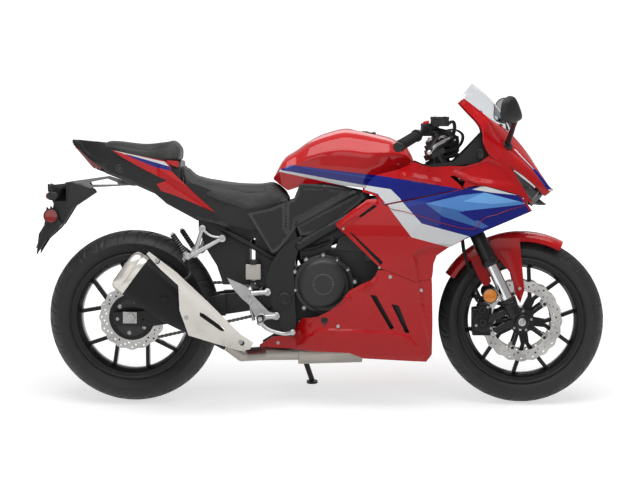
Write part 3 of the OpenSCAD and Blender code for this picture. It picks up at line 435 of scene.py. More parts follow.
def flat_mesh(bm, outline, holes=(), lines=(), pitch=10.0, lift=lambda x, z: 0.0):
    """Triangles filling a side-view outline, less its holes, raised by lift(x, z) across the machine."""
    points, edges = [], []

    def chain(path, closed):
        fine = []
        ends = list(path) + ([path[0]] if closed else [])
        for (x0, z0), (x1, z1) in zip(ends, ends[1:]):
            n = max(1, round(math.hypot(x1 - x0, z1 - z0) / pitch))
            fine += [(x0 + (x1 - x0) * k / n, z0 + (z1 - z0) * k / n) for k in range(n)]
        if not closed:
            fine.append(ends[-1])
        first = len(points)
        points.extend(fine)
        count = len(fine) if closed else len(fine) - 1
        edges.extend((first + k, first + (k + 1) % len(fine)) for k in range(count))

    chain(outline, True)
    for hole in holes:
        chain(hole, True)
    for line in lines:
        chain(line, False)

    def inside(x, z, ring):
        hit = False
        for (x0, z0), (x1, z1) in zip(ring, ring[1:] + ring[:1]):
            if (z0 > z) != (z1 > z) and x < (x1 - x0) * (z - z0) / (z1 - z0) + x0:
                hit = not hit
        return hit

    taken = np.array(points)
    rows = np.arange(min(p[1] for p in outline) + pitch / 2, max(p[1] for p in outline), pitch * 0.87)
    for row, z in enumerate(rows):
        for x in np.arange(min(p[0] for p in outline) + (row % 2) * pitch / 2, max(p[0] for p in outline),
                pitch):
            if inside(x, z, outline) and np.min(np.hypot(*(taken - (x, z)).T)) > pitch * 0.6:
                points.append((x, z))
    verts, _, faces, *_ = delaunay_2d_cdt([Vector(p) for p in points], edges, [], 0, 0.01)
    made = [bm.verts.new((v.x, lift(v.x, v.y), v.y)) for v in verts]
    for face in faces:
        x, z = sum(verts[i].x for i in face) / 3, sum(verts[i].y for i in face) / 3
        if inside(x, z, outline) and not any(inside(x, z, list(hole)) for hole in holes):
            bm.faces.new([made[i] for i in face])
    for v in [v for v in bm.verts if not v.link_faces]:
        bm.verts.remove(v)
    return bm


def circle(x, z, r, n=12):
    """A round outline."""
    return [(x + r * math.cos(2 * math.pi * k / n), z + r * math.sin(2 * math.pi * k / n))
        for k in range(n)]


def thick(bm, depth):
    """Thickens open skin: depth is a vector or a distance along the normals."""
    bm.normal_update()
    inner = bmesh.ops.extrude_face_region(bm, geom=bm.faces[:])["geom"]
    verts = [g for g in inner if isinstance(g, bmesh.types.BMVert)]
    if isinstance(depth, (int, float)):
        for v in verts:
            v.co -= v.normal * depth
    else:
        bmesh.ops.translate(bm, vec=depth, verts=verts)
    return bm


def join(bm, extra):
    """Adds a finished shape to another one."""
    part = bpy.data.meshes.new("part")
    extra.to_mesh(part)
    extra.free()
    bm.from_mesh(part)


def drilled_disc(bm, x, y, z, d, inner, waves=20):
    """A brake ring with a scalloped rim and three slanting holes to each wave."""
    rim = []
    for k in range(240):
        a = 2 * math.pi * k / 240
        r = d / 2 - 5.6 * (1 - abs(math.cos(waves * a / 2))) ** 0.8
        rim.append((x + r * math.cos(a), z + r * math.sin(a)))
    holes = [circle(x, z, inner, 60)]
    for k in range(waves):
        for step, r in ((0, 0.92), (0.34, 0.85), (0.68, 0.79)):
            a = 2 * math.pi * (k + step) / waves
            holes.append(circle(x + d / 2 * r * math.cos(a), z + d / 2 * r * math.sin(a), 3.6, 8))
    flat = flat_mesh(bmesh.new(), rim, holes, pitch=7.5, lift=lambda *_: y - 2.5)
    thick(flat, Vector((0, 5, 0)))
    join(bm, flat)


front_disc_y, front_disc_d, rear_disc_y, rear_disc_d = 66, 296, -96, 240
bm = bmesh.new()
for side in (-1, 1):
    drilled_disc(bm, front_axle_x, side * front_disc_y, front_axle_h, front_disc_d, inner=108)
add_piece("front_brake_discs", bm, "front_wheel", disc_steel, "front_discs")
bm = bmesh.new()
drilled_disc(bm, 0, rear_disc_y, rear_axle_h, rear_disc_d, inner=84, waves=16)
add_piece("rear_brake_disc", bm, "rear_wheel", disc_steel, "rear_disc")

bm = bmesh.new()
for side in (-1, 1):
    arms = []
    for k in range(100):
        a = 2 * math.pi * k / 100
        near = abs((k % 20) - 10) / 10
        r = 107 if near < 0.15 else 46 + 40 * max(0, 0.35 - near)
        arms.append((front_axle_x + r * math.cos(a), front_axle_h + r * math.sin(a)))
    flat = flat_mesh(bmesh.new(), arms, [circle(front_axle_x, front_axle_h, 16, 24)], pitch=9,
        lift=lambda *_: side * front_disc_y - 3)
    thick(flat, Vector((0, 6, 0)))
    join(bm, flat)
add_piece("front_disc_carriers", bm, "front_wheel", wheel_black, ease=0.6)

bm = bmesh.new()
for side in (-1, 1):
    for k in range(5):
        a = math.radians(36 + 72 * k)
        turned(bm, (front_axle_x + 103 * math.cos(a), side * front_disc_y, front_axle_h + 103
            * math.sin(a)), (0, side, 0), [(-4, 11), (3.4, 11), (4.2, 10), (4.2, 6), (2.4, 5), (2.4, 0)],
            20)
    for k in range(5):
        a = math.radians(81 + 72 * k)
        bolt(bm, (front_axle_x + 36 * math.cos(a), side * 69, front_axle_h + 36 * math.sin(a)),
            (0, side, 0), 3.6, 3)
add_piece("front_disc_buttons", bm, "front_wheel", zinc)
bm = bmesh.new()
for k in range(6):
    a = math.radians(20 + 60 * k)
    x, z = 58 * math.cos(a), rear_axle_h + 58 * math.sin(a)
    bolt(bm, (x, -98, z), (0, -1, 0), 5.5, 4)
for k in range(5):
    a = math.radians(20 + 72 * k)
    bolt(bm, (46 * math.cos(a), 104, rear_axle_h + 46 * math.sin(a)), (0, 1, 0), 6, 5)
add_piece("rear_disc_bolts", bm, "rear_wheel", zinc)
rear_hub = bmesh.new()
turned(rear_hub, (0, -60.5, rear_axle_h), (0, -1, 0), [(0, 11), (0, 54), (20, 52), (33, 88), (37, 88),
    (37.6, 80), (36, 60), (30, 24), (30, 11)], 60)
add_piece("rear_disc_hub", rear_hub, "rear_wheel", wheel_black)


def plate(bm, outline, y0, y1):
    """A flat plate cut to a side-view outline."""
    ring = [bm.verts.new((x, y0, z)) for x, z in outline]
    face = bm.faces.new(ring)
    grown = bmesh.ops.extrude_face_region(bm, geom=[face])["geom"]
    bmesh.ops.translate(bm, vec=(0, y1 - y0, 0),
        verts=[g for g in grown if isinstance(g, bmesh.types.BMVert)])
    return bm


def curve_through(points, steps=8):
    """A smooth path through the points."""
    p = [Vector(q) for q in points]
    p = [2 * p[0] - p[1]] + p + [2 * p[-1] - p[-2]]
    path = []
    for a, b, c, d in zip(p, p[1:], p[2:], p[3:]):
        for k in range(steps):
            t = k / steps
            path.append(0.5 * (2 * b + (c - a) * t + (2 * a - 5 * b + 4 * c - d) * t * t
                + (3 * b - a - 3 * c + d) * t ** 3))
    return path + [p[-2]]


def tube(bm, points, radius, steps=12, bends=8):
    """A bent round bar or hose; radius may be a list along the path."""
    path = curve_through(points, bends) if bends else [Vector(q) for q in points]
    sizes = np.atleast_1d(radius)
    radii = np.interp(np.linspace(0, 1, len(path)), np.linspace(0, 1, len(sizes)), sizes).tolist()
    _, side, _ = frame_along(path[1] - path[0])
    rings = []
    for i, spot in enumerate(path):
        ahead = (path[min(i + 1, len(path) - 1)] - path[max(i - 1, 0)]).normalized()
        side = (side - ahead * side.dot(ahead)).normalized()
        other = ahead.cross(side)
        rings.append([bm.verts.new(spot + radii[i] * (side * math.cos(a) + other * math.sin(a)))
            for a in (2 * math.pi * k / steps for k in range(steps))])
    for a, b in zip(rings, rings[1:]):
        for i in range(steps):
            bm.faces.new((a[i], a[(i + 1) % steps], b[(i + 1) % steps], b[i]))
    bm.faces.new(rings[0][::-1])
    bm.faces.new(rings[-1])
    return bm


dress(cast_black, "front_calipers", "rear_caliper", ease=3.0)
bm = bmesh.new()
for side in (-1, 1):
    plate(bm, [(1262, 372), (1295, 361), (1293, 312), (1309, 300), (1303, 263), (1256, 262), (1239, 272),
        (1236, 312), (1250, 330)], side * 80, side * 93)
    plate(bm, [(1290, 322), (1322, 334), (1330, 322), (1304, 300)], side * 82, side * 100)
    for x, z, r in ((1268, 342, 15), (1270, 296, 15)):
        turned(bm, (x, side * 92, z), (0, side, 0), [(-2, r + 2), (4, r + 2), (6, r), (6, r - 4),
            (4.6, r - 5), (4.6, 0)], 28)
    tube(bm, [(1258, side * 88, 366), (1244, side * 96, 384), (1250, side * 100, 402)], 5, 10)
add_piece("front_caliper_halves", bm, "fork", cast_black, sharp=34, ease=1.6)
bm = bmesh.new()
for side in (-1, 1):
    for x, z in ((1288, 352), (1246, 286), (1300, 276)):
        bolt(bm, (x, side * 93, z), (0, side, 0), 4, 3.5)
add_piece("front_caliper_bolts", bm, "fork", zinc)
bm = bmesh.new()
for x, z in ((88, 420), (126, 392)):
    bolt(bm, (x, -116, z), (0, -1, 0), 6, 4)
add_piece("rear_caliper_bolts", bm, "root", zinc)

# ---------------------------------------------------------------- chain and sprockets
# A steel roller chain of riveted figure-eight plates, dark and oily. It runs from the gearbox to a
# hard-anodised rear sprocket, which is bolted to the wheel.
chain_steel = finish("chain_steel", (0.2, 0.19, 0.18), (0.35, 0.55), metal=1.0, grain=(900, 0.08),
    spread=0.45)
dress(finish("sprocket_alloy", (0.3, 0.3, 0.31), (0.3, 0.45), metal=1.0, grain=(1500, 0.05),
    slot="plain_alloy"), "rear_sprocket", ease=0.6)
small, big = Vector((642, 0, 394)), Vector((0, 0, rear_axle_h))
near_r, far_r, link_pitch = 41.5, 104.6, 15.875
slope = math.atan2(small.z - big.z, small.x - big.x)
wrap = math.acos((far_r - near_r) / (small - big).length)
loop = [(big.x + far_r * math.cos(a), big.z + far_r * math.sin(a)) for a in np.linspace(slope + wrap,
    slope + 2 * math.pi - wrap, 60)]
loop += [(small.x + near_r * math.cos(a), small.z + near_r * math.sin(a)) for a in np.linspace(slope - wrap,
    slope + wrap, 30)]
loop = np.array(loop + loop[:1])
run = np.concatenate([[0], np.cumsum(np.hypot(*np.diff(loop, axis=0).T))])
link_count = 2 * round(run[-1] / link_pitch / 2)
pins = [(np.interp(s, run, loop[:, 0]), np.interp(s, run, loop[:, 1])) for s in np.arange(link_count)
    * run[-1] / link_count]
bm = bmesh.new()
for k in range(link_count):
    a, b = Vector(pins[k]), Vector(pins[(k + 1) % link_count])
    mid, way = (a + b) / 2, (b - a).normalized()
    over = Vector((-way.y, way.x))
    half = (b - a).length / 2
    waist = [(-half - 5.6, 2.6), (-half - 2.6, 5.6), (-half + 2, 5.8), (0, 4.1), (half - 2, 5.8),
        (half + 2.6, 5.6), (half + 5.6, 2.6)]
    ring = [mid + way * u + over * v for u, v in waist]
    ring += [mid + way * u - over * v for u, v in reversed(waist)]
    gap = 6.1 if k % 2 else 4.0
    for s in (-1, 1):
        plate(bm, [tuple(p) for p in ring], 100 + s * gap, 100 + s * (gap + 1.7))
    turned(bm, (a.x, 92.3, a.y), (0, 1, 0), [(0, 2.4), (15.4, 2.4)], 8)
    turned(bm, (a.x, 96.5, a.y), (0, 1, 0), [(0, 4.9), (7, 4.9)], 10)
add_piece("roller_chain", bm, "root", chain_steel, "drive_chain", sharp=30)
bm = bmesh.new()
for k in range(40):
    a = 2 * math.pi * k / 40
    ring = [(97.6 * math.cos(a + u * 0.055), 97.6 * math.sin(a + u * 0.055)) for u in (-1, 1)]
    ring += [(101.8 * math.cos(a + u * 0.022), 101.8 * math.sin(a + u * 0.022)) for u in (1, -1)]
    plate(bm, [(x, rear_axle_h + z) for x, z in ring], 97.5, 102.5)
add_piece("rear_sprocket_teeth", bm, "rear_wheel", chain_steel)

# ---------------------------------------------------------------- swingarm fittings, axle and rear shock
# Zinc-plated axle nuts and adjuster plates close the arm's ends. One shock stands behind the engine, a red
# steel coil wound over an alloy damper between two collars.
dress(zinc, "rear_axle", "front_axle", ease=0.8)
bm = bmesh.new()
spring = []
low, high = Vector((459, 0, 404)), Vector((545, 0, 520))
axis, out, other = frame_along(high - low)
for k in range(141):
    a = 2 * math.pi * 7 * k / 140
    spring.append(low + axis * (34 + (96 - 34) * k / 140) + 27 * (out * math.cos(a) + other * math.sin(a)))
tube(bm, spring, 4.4, 8, 0)
coil_red = finish("spring_red", (0.42, 0.02, 0.025), (0.25, 0.4), coat=0.5, slot="spring_red")
add_piece("shock_spring", bm, "root", coil_red, "shock_absorber")
bm = bmesh.new()
turned(bm, low, axis, [(0.2, 11), (26, 11), (26, 31), (32, 31), (32, 22), (60, 20), (98, 20), (98, 31),
    (106, 31), (107, 14), (125, 12)], 32)
add_piece("shock_body", bm, "root", finish("shock_alloy", (0.42, 0.42, 0.43), (0.25, 0.4), metal=1.0,
    slot="plain_alloy"))
bm = bmesh.new()
for side in (-1, 1):
    bolt(bm, (-48, side * 138.2, rear_axle_h - 4), (0, side, 0), 4.5, 5)
    plate(bm, [(-28, rear_axle_h + 22), (22, rear_axle_h + 20), (22, rear_axle_h - 20),
        (-28, rear_axle_h - 20)], side * 137.8, side * 140.6)
    for x, z in ((150, 362), (250, 372)):
        bolt(bm, (x, side * 138, z), (0, side, 0), 5, 3)
add_piece("axle_adjusters", bm, "root", zinc, ease=0.5)

# ---------------------------------------------------------------- engine
# A liquid-cooled twin in black-coated castings. Bolted round covers carry turned rings, and small alloy
# bolts run round their rims.
engine_black = finish("engine_black", (0.016, 0.016, 0.0165), (0.4, 0.58), grain=(1100, 0.35),
    worn=(0.22, 0.22, 0.22), shine=0.35)
dress(engine_black, "crankcase", "cylinder_head", ease=2.2)
cover_black = finish("cover_black", (0.024, 0.024, 0.025), (0.3, 0.46), grain=(1300, 0.2),
    worn=(0.3, 0.3, 0.3), slot="engine_black", shine=0.4)
dress(cover_black, "engine_covers", ease=1.6)
clutch_x, clutch_z = 696, 437
bm = bmesh.new()
turned(bm, (clutch_x, -128, clutch_z), (0, -1, 0), [(0, 105), (9, 105), (11, 102), (12, 94), (17, 89),
    (25, 83), (28.5, 72), (31, 54), (32, 40), (32, 0)], 80)
turned(bm, (clutch_x, -159.4, clutch_z), (0, -1, 0), [(0, 34.5), (0, 38), (1.6, 38), (2.2, 37.2),
    (2.2, 35.3), (1.6, 34.5)], 64)
for x0, x1 in ((654, 668), (724, 738)):
    plate(bm, [(x0, 435), (x1, 435), (x1, 438.5), (x0, 438.5)], -162, -158)
cover_bosses = [(592, 481), (595, 415), (626, 351), (634, 524), (695, 540), (745, 523), (783, 488),
    (808, 445), (806, 396)]
for x, z in cover_bosses:
    turned(bm, (x, -114, z), (0, -1, 0), [(0, 12), (19, 12), (21, 10), (21, 0)], 24)
for a, length in ((104, 44), (118, 40)):
    d = Vector((math.cos(math.radians(a)), 0, math.sin(math.radians(a))))
    tube(bm, [Vector((clutch_x, -149, clutch_z)) + d * 58, Vector((clutch_x, -136, clutch_z)) + d
        * (58 + length)], 4, 8, 0)
add_piece("clutch_cover", bm, "root", cover_black, sharp=36, ease=0.8)
bm = bmesh.new()
for x, z in cover_bosses + [(780, 352), (735, 330)]:
    bolt(bm, (x, -135 if z > 390 or x < 700 else -118, z), (0, -1, 0), 5, 4.5)
for k in range(8):
    a = math.radians(22 + 45 * k)
    bolt(bm, (820 + 82 * math.cos(a), 140, 430 + 82 * math.sin(a)), (0, 1, 0), 5.5, 4)
for x, z in ((615, 448), (682, 430), (690, 362), (618, 344)):
    bolt(bm, (x, 116.5, z), (0, 1, 0), 5, 4)
for x in (760, 820, 880):
    for side in (-1, 1):
        bolt(bm, (x + 40, side * 90, 600), (0, side, 0), 5, 4)
add_piece("engine_bolts", bm, "root", zinc)
bm = bmesh.new()
for side in (-1, 1):
    for k in range(7):
        z = 572 + 17 * k
        x0, x1 = 742 + (z - 558) * 0.36, 902 + (z - 545) * 0.29
        plate(bm, [(x0, z), (x1, z - 8), (x1, z - 4), (x0, z + 4)], side * 89.5, side * 94)
plate(bm, [(846, 520), (905, 512), (912, 556), (852, 566)], -96, -90)
tube(bm, [(884, -60, 505), (930, -96, 520), (968, -120, 560), (1000, -130, 600)], 13, 14)
tube(bm, [(860, 60, 530), (930, 110, 500), (985, 130, 430), (1006, 130, 408)], 13, 14)
add_piece("engine_fins", bm, "root", engine_black, ease=0.5)


def skinned(bm, rings, closed=True, caps=True):
    """A skin over rows of points."""
    rows = [[bm.verts.new(Vector(p)) for p in ring] for ring in rings]
    for a, b in zip(rows, rows[1:]):
        for i in range(len(a) if closed else len(a) - 1):
            j = (i + 1) % len(a)
            bm.faces.new((a[i], a[j], b[j], b[i]))
    if closed and caps:
        bm.faces.new(rows[0][::-1])
        bm.faces.new(rows[-1])
    return rows


def squared(c, power):
    """Draws a circle's sine or cosine out toward a square."""
    return math.copysign(abs(c) ** power, c)


# Airbox, throttle bodies and wiring fill the space between the frame's spars, all in black.
bm = bmesh.new()
rings = []
for x, w, z0, z1 in ((588, 60, 540, 640), (610, 92, 500, 690), (700, 100, 560, 740), (800, 100, 600, 752),
        (850, 80, 640, 752)):
    rings.append([(x, w * squared(math.cos(a), 0.5), (z0 + z1) / 2 + (z1 - z0) / 2 * squared(math.sin(a),
        0.5)) for a in (2 * math.pi * k / 28 for k in range(28))])
skinned(bm, rings)
for x0, z0, x1, z1 in ((600, 560, 720, 590), (640, 600, 760, 640), (620, 530, 690, 545)):
    tube(bm, [(x0, -98, z0), ((x0 + x1) / 2, -108, (z0 + z1) / 2 - 8), (x1, -98, z1)], 7, 12)
plate(bm, [(446, 640), (560, 604), (592, 480), (588, 420), (446, 424)], -70, 70)
plate(bm, [(446, 340), (592, 340), (602, 244), (540, 236), (486, 268)], -60, 60)
plate(bm, [(612, 520), (720, 560), (735, 600), (640, 640), (600, 600)], -96, -88)
add_piece("airbox", bm, "root", engine_black, sharp=34, ease=1.5)

# ---------------------------------------------------------------- radiator
# A black cross-flow core of thin folded aluminium fins between two tanks. It hangs on the frame behind the
# front wheel.
radiator_black = finish("radiator_black", (0.01, 0.01, 0.0105), (0.4, 0.6), grain=(900, 0.2),
    slot="engine_black")
tree = radiator_black.node_tree
fins = tree.nodes.new("ShaderNodeTexWave")
fins.bands_direction = "Z"
fins.inputs["Scale"].default_value = 95
fins.inputs["Distortion"].default_value = 0.4
coords = tree.nodes.new("ShaderNodeTexCoord")
tree.links.new(coords.outputs["Object"], fins.inputs["Vector"])
folds = tree.nodes.new("ShaderNodeBump")
folds.inputs["Distance"].default_value = 0.0012
tree.links.new(fins.outputs["Fac"], folds.inputs["Height"])
tree.links.new(tree.nodes["Bump"].outputs["Normal"], folds.inputs["Normal"])
tree.links.new(folds.outputs["Normal"], tree.nodes["Principled BSDF"].inputs["Normal"])
dress(radiator_black, "radiator", ease=1.0)

# ---------------------------------------------------------------- exhaust
# Two stainless headers join in a collector box under the engine, browned by heat, and feed a black
# silencer on the right. A champagne-coloured heat shield and end cap are bolted on rubber washers.
steel = finish("exhaust_steel", (0.33, 0.305, 0.275), (0.3, 0.48), metal=1.0, grain=(900, 0.06),
    spread=0.35, mottle=9)
dress(steel, "exhaust_pipe", ease=1.0)
champagne = finish("champagne", (0.7, 0.67, 0.62), (0.24, 0.38), metal=0.7, coat=0.3, grain=(1700, 0.04),
    spread=0.1, slot="shield_champagne")
silencer_black = finish("silencer_black", (0.011, 0.011, 0.0115), (0.42, 0.55), grain=(1500, 0.1),
    slot="muffler_black")
muffler_front, muffler_back = Vector((366, -182, 216)), Vector((-6, -212, 492))
silencer_up = Vector((0.596, 0, 0.803))


def silencer_ring(t, height, width, n=48, power=0.8):
    """The silencer's rounded section at a part of its length."""
    centre = muffler_front.lerp(muffler_back, t)
    ring = []
    for k in range(n):
        a = 2 * math.pi * k / n
        u, v = math.sin(a), math.cos(a)
        u, v = squared(u, power), squared(v, power)
        ring.append(centre + silencer_up * (height / 2 * u) + Vector((0, 1, 0)) * (width / 2 * v))
    return ring


def eased(table):
    """A smooth curve through a table of (place, value)."""
    places, values = (np.array(c, float) for c in zip(*table))
    slopes = np.gradient(values, places)

    def value(x):
        x = min(max(x, places[0]), places[-1])
        i = min(max(int(np.searchsorted(places, x, "right")) - 1, 0), len(places) - 2)
        h = places[i + 1] - places[i]
        t = (x - places[i]) / h
        return ((2 * t ** 3 - 3 * t * t + 1) * values[i] + (t ** 3 - 2 * t * t + t) * h * slopes[i]
            + (3 * t * t - 2 * t ** 3) * values[i + 1] + (t ** 3 - t * t) * h * slopes[i + 1])
    return value


tall = eased([(0.024, 52), (0.2, 78), (0.42, 128), (0.62, 152), (0.8, 158), (0.9, 160), (0.925, 158),
    (0.94, 150)])
wide = eased([(0.024, 52), (0.2, 74), (0.42, 98), (0.62, 109), (0.8, 111), (0.9, 111), (0.925, 110),
    (0.94, 104)])
bm = bmesh.new()
skinned(bm, [silencer_ring(t, tall(t), wide(t), power=1 - 0.22 * min(1, t * 2))
    for t in list(np.linspace(0.024, 0.86, 34)) + [0.862, 0.868, 0.87, 0.9, 0.925, 0.94]])
add_piece("silencer", bm, "root", silencer_black, "muffler")
bm = bmesh.new()
rings = [(0.908, 158, 109), (0.9095, 163, 113.4), (0.95, 164, 113.4), (0.956, 160, 110), (0.962, 163, 112),
    (0.98, 161, 111), (1.0, 158, 107), (1.018, 146, 99), (1.03, 122, 82), (1.03, 76, 60), (1.012, 66, 52),
    (0.99, 62, 48)]
skinned(bm, [silencer_ring(t, h, w, power=0.8 if k < 9 else 0.95) for k, (t, h, w) in enumerate(rings)])
add_piece("silencer_end_cap", bm, "root", champagne, "muffler_end_cap", sharp=50)
bm = bmesh.new()
turned(bm, muffler_front.lerp(muffler_back, 0.985), muffler_back - muffler_front,
    [(0, 15), (0, 20), (18, 20), (18, 18.4), (2, 18.4), (2, 0)], 40)
add_piece("silencer_outlet", bm, "root", steel)

shield_outline = [(295, 378), (405, 268), (452, 238), (441, 214), (404, 208), (222, 262), (190, 352),
    (186, 440), (120, 500), (73, 552), (82, 560), (180, 486)]


def shield_lift(x, z):
    """The shield is crowned a few millimetres along its middle."""
    return -277.6 + 2.4 * min(1, abs((x - 250) * 0.62 + (z - 330) * 0.79) / 60) ** 2


bm = flat_mesh(bmesh.new(), shield_outline, [[(262, 345), (276, 340), (352, 286), (346, 277), (335, 280),
    (262, 332)]], pitch=9, lift=shield_lift)
thick(bm, Vector((0, 2.6, 0)))
add_piece("silencer_shield", bm, "root", champagne, "muffler_shield", ease=0.6)
bm = bmesh.new()
for t, w in ((0.42, 98), (0.62, 110)):
    spot = muffler_front.lerp(muffler_back, t)
    turned(bm, (spot.x, -274.5, spot.z), (0, 1, 0), [(0, 12), (4, 12), (6, 8),
        (268.2 - abs(spot.y) - w / 2 - 1.5, 8)], 24)
for x, z in ((412, 236), (112, 526)):
    turned(bm, (x, -276, z), (0, 1, 0), [(-1.5, 9), (3, 9), (3, 6), (16, 6)], 20)
add_piece("shield_stays", bm, "root", silencer_black)
bm = bmesh.new()
for x, z in ((407, 240), (214, 326), (110, 529)):
    turned(bm, (x, -276.6, z), (0, -1, 0), [(0, 8.5), (1.2, 8.5), (1.2, 5.6), (3, 5), (3, 2.6), (1.6, 2.4),
        (1.6, 0)], 20)
add_piece("shield_bolts", bm, "root", zinc)

# ---------------------------------------------------------------- fuel tank
# A pressed steel tank, painted red with a blue and white flash along each flank under clear lacquer. The
# filler cap is a cast black ring with a hinged, locking lid.
machine_place, entry, leave = node_group("machine_place", [], [("Along", "NodeSocketFloat"),
    ("Across", "NodeSocketFloat"), ("Up", "NodeSocketFloat")])
where = machine_place.nodes.new("ShaderNodeTexCoord")
offset = machine_place.nodes.new("ShaderNodeVectorMath")
offset.operation = "SUBTRACT"
offset.inputs[1].default_value = machine.translation
machine_place.links.new(where.outputs["Object"], offset.inputs[0])
for direction, label in ((forward, "Along"), (left, "Across"), (up, "Up")):
    dot = machine_place.nodes.new("ShaderNodeVectorMath")
    dot.operation = "DOT_PRODUCT"
    dot.inputs[1].default_value = direction * 1000
    machine_place.links.new(offset.outputs[0], dot.inputs[0])
    machine_place.links.new(dot.outputs["Value"], leave.inputs[label])

# Lacquered paint: a faint orange peel under the gloss, and a polishing haze that comes and goes.
lacquer, entry, leave = node_group("lacquer", [("Peel size", "NodeSocketFloat", 260.0)],
    [("Height", "NodeSocketFloat"), ("Haze", "NodeSocketFloat")])
where = lacquer.nodes.new("ShaderNodeTexCoord")
peel, haze = lacquer.nodes.new("ShaderNodeTexNoise"), lacquer.nodes.new("ShaderNodeTexNoise")
haze.inputs["Scale"].default_value, haze.inputs["Detail"].default_value = 9, 5
lacquer.links.new(entry.outputs["Peel size"], peel.inputs["Scale"])
for noise in (peel, haze):
    lacquer.links.new(where.outputs["Object"], noise.inputs["Vector"])
lacquer.links.new(peel.outputs["Fac"], leave.inputs["Height"])
lacquer.links.new(haze.outputs["Fac"], leave.inputs["Haze"])

red, white, blue = (0.56, 0.006, 0.009), (0.78, 0.79, 0.8), (0.008, 0.014, 0.22)
pale_blue = (0.11, 0.3, 0.72)


def livery(name, base, areas, slot=None, coat=0.42):
    """Paint with flashes: each area is a colour and its convex side-view outlines, later ones on top."""
    material, tree, shader = blank_material(name, slot)
    shader.inputs["Coat Weight"].default_value = coat
    shader.inputs["Coat Roughness"].default_value = 0.03
    shader.inputs["Specular IOR Level"].default_value = 0.1
    place, gloss = tree.nodes.new("ShaderNodeGroup"), tree.nodes.new("ShaderNodeGroup")
    place.node_tree, gloss.node_tree = machine_place, lacquer
    colour = mix_colour(tree, gloss.outputs["Haze"], tuple(c * 0.9 for c in base), tuple(min(1, c * 1.12)
        for c in base))
    for shade, outlines in areas:
        union = None
        for outline in outlines:
            turn_way = sum((x1 - x0) * (z1 + z0) for (x0, z0), (x1, z1) in zip(outline,
                outline[1:] + outline[:1]))
            deep = None
            for (x0, z0), (x1, z1) in zip(outline, outline[1:] + outline[:1]):
                length = math.hypot(x1 - x0, z1 - z0) * math.copysign(1, turn_way)
                nx, nz = (z1 - z0) / length, -(x1 - x0) / length
                along = math_node(tree, "MULTIPLY", place.outputs["Along"], nx)
                flat = math_node(tree, "MULTIPLY", place.outputs["Up"], nz)
                both = math_node(tree, "ADD", along, flat)
                edge = math_node(tree, "SUBTRACT", both, nx * x0 + nz * z0)
                deep = edge if deep is None else math_node(tree, "MINIMUM", deep, edge)
            union = deep if union is None else math_node(tree, "MAXIMUM", union, deep)
        mask = math_node(tree, "ADD", math_node(tree, "MULTIPLY", union, 1.2), 0.5, clamp=True)
        colour = mix_colour(tree, mask, colour, shade)
    tree.links.new(colour, shader.inputs["Base Color"])
    tree.links.new(ranged(tree, gloss.outputs["Haze"], (0.2, 0.34)), shader.inputs["Roughness"])
    tree.links.new(raised(tree, gloss.outputs["Height"], 0.05, 0.5), shader.inputs["Normal"])
    return material


# The thin lighter blue strip inside the tank's blue flash, (0.02, 0.05, 0.34), is a painted highlight along
# the flank.
tank_paint = livery("tank_paint", red, [(white, [[(533, 841), (538, 849), (905, 784), (905, 761)]]),
    (blue, [[(538, 847), (575, 865), (905, 826.5), (905, 782)]]),
    ((0.02, 0.05, 0.34), [[(620, 859), (905, 815), (905, 809), (620, 855)]])], slot="body_red", coat=0.8)
tank_wide = eased([(512, 0.45), (540, 0.66), (600, 0.72), (680, 0.82), (770, 0.97), (840, 1), (900, 0.95),
    (1018, 0.5)])
tank_under = [(512, 812), (540, 790), (566, 772), (620, 790), (690, 800), (847, 782), (896, 806),
    (1018, 852)]
tank_top = eased([(512, 822), (540, 876), (594, 919), (651, 958), (715, 984), (773, 996), (806, 993),
    (894, 974), (953, 955), (1003, 918), (1018, 888)])


def tank_ring(x, n=64):
    """The tank's section: a flat foot, a knee recess toward the seat and a crowned top."""
    w, z0, z1 = 142 * tank_wide(x), float(np.interp(x, *zip(*tank_under))), tank_top(x)
    knee = min(1, max(0, (700 - x) / 130))
    table = [(0, 0.9 - 0.06 * knee), (0.3, 0.97 - 0.05 * knee), (0.58, 1.0), (0.63, 0.985), (0.84, 0.78),
        (0.92, 0.6), (0.975, 0.34), (1, 0)]
    half = []
    for k in range(n // 2 + 1):
        t = k / (n // 2)
        h = 1 - (1 - t) ** 1.9
        half.append((float(np.interp(h, *zip(*table))), h))
    ring = [Vector((x, -w * a, z0 + (z1 - z0) * h)) for a, h in half]
    return ring + [Vector((p.x, -p.y, p.z)) for p in reversed(ring[:-1])]


stations = list(np.linspace(512.5, 545, 12)) + list(np.linspace(551, 1000, 76)) + list(np.linspace(1003,
    1017.5, 8))
bm = bmesh.new()
skinned(bm, [tank_ring(x) for x in stations])
tank = add_piece("tank", bm, "root", tank_paint, "fuel_tank", sharp=60)
filler_x = 842
recess = bmesh.new()
turned(recess, (filler_x, 0, 974.3), (0, 0, 1), [(0, 45), (26, 49), (60, 60)], 64)
well = bpy.data.meshes.new("well")
bmesh.ops.recalc_face_normals(recess, faces=recess.faces)
recess.to_mesh(well)
recess.free()
well.transform(machine)
cutter = bpy.data.objects.new("cutter", well)
bpy.context.collection.objects.link(cutter)
cut = tank.modifiers.new("filler", "BOOLEAN")
cut.object, cut.operation, cut.solver = cutter, "DIFFERENCE", "EXACT"
bpy.context.view_layer.update()
opened = bpy.data.meshes.new_from_object(tank.evaluated_get(bpy.context.evaluated_depsgraph_get()))
tank.modifiers.clear()
tank.data = opened
tank.data.shade_smooth()
tank.data.set_sharp_from_angle(angle=math.radians(40))
bpy.data.objects.remove(cutter)

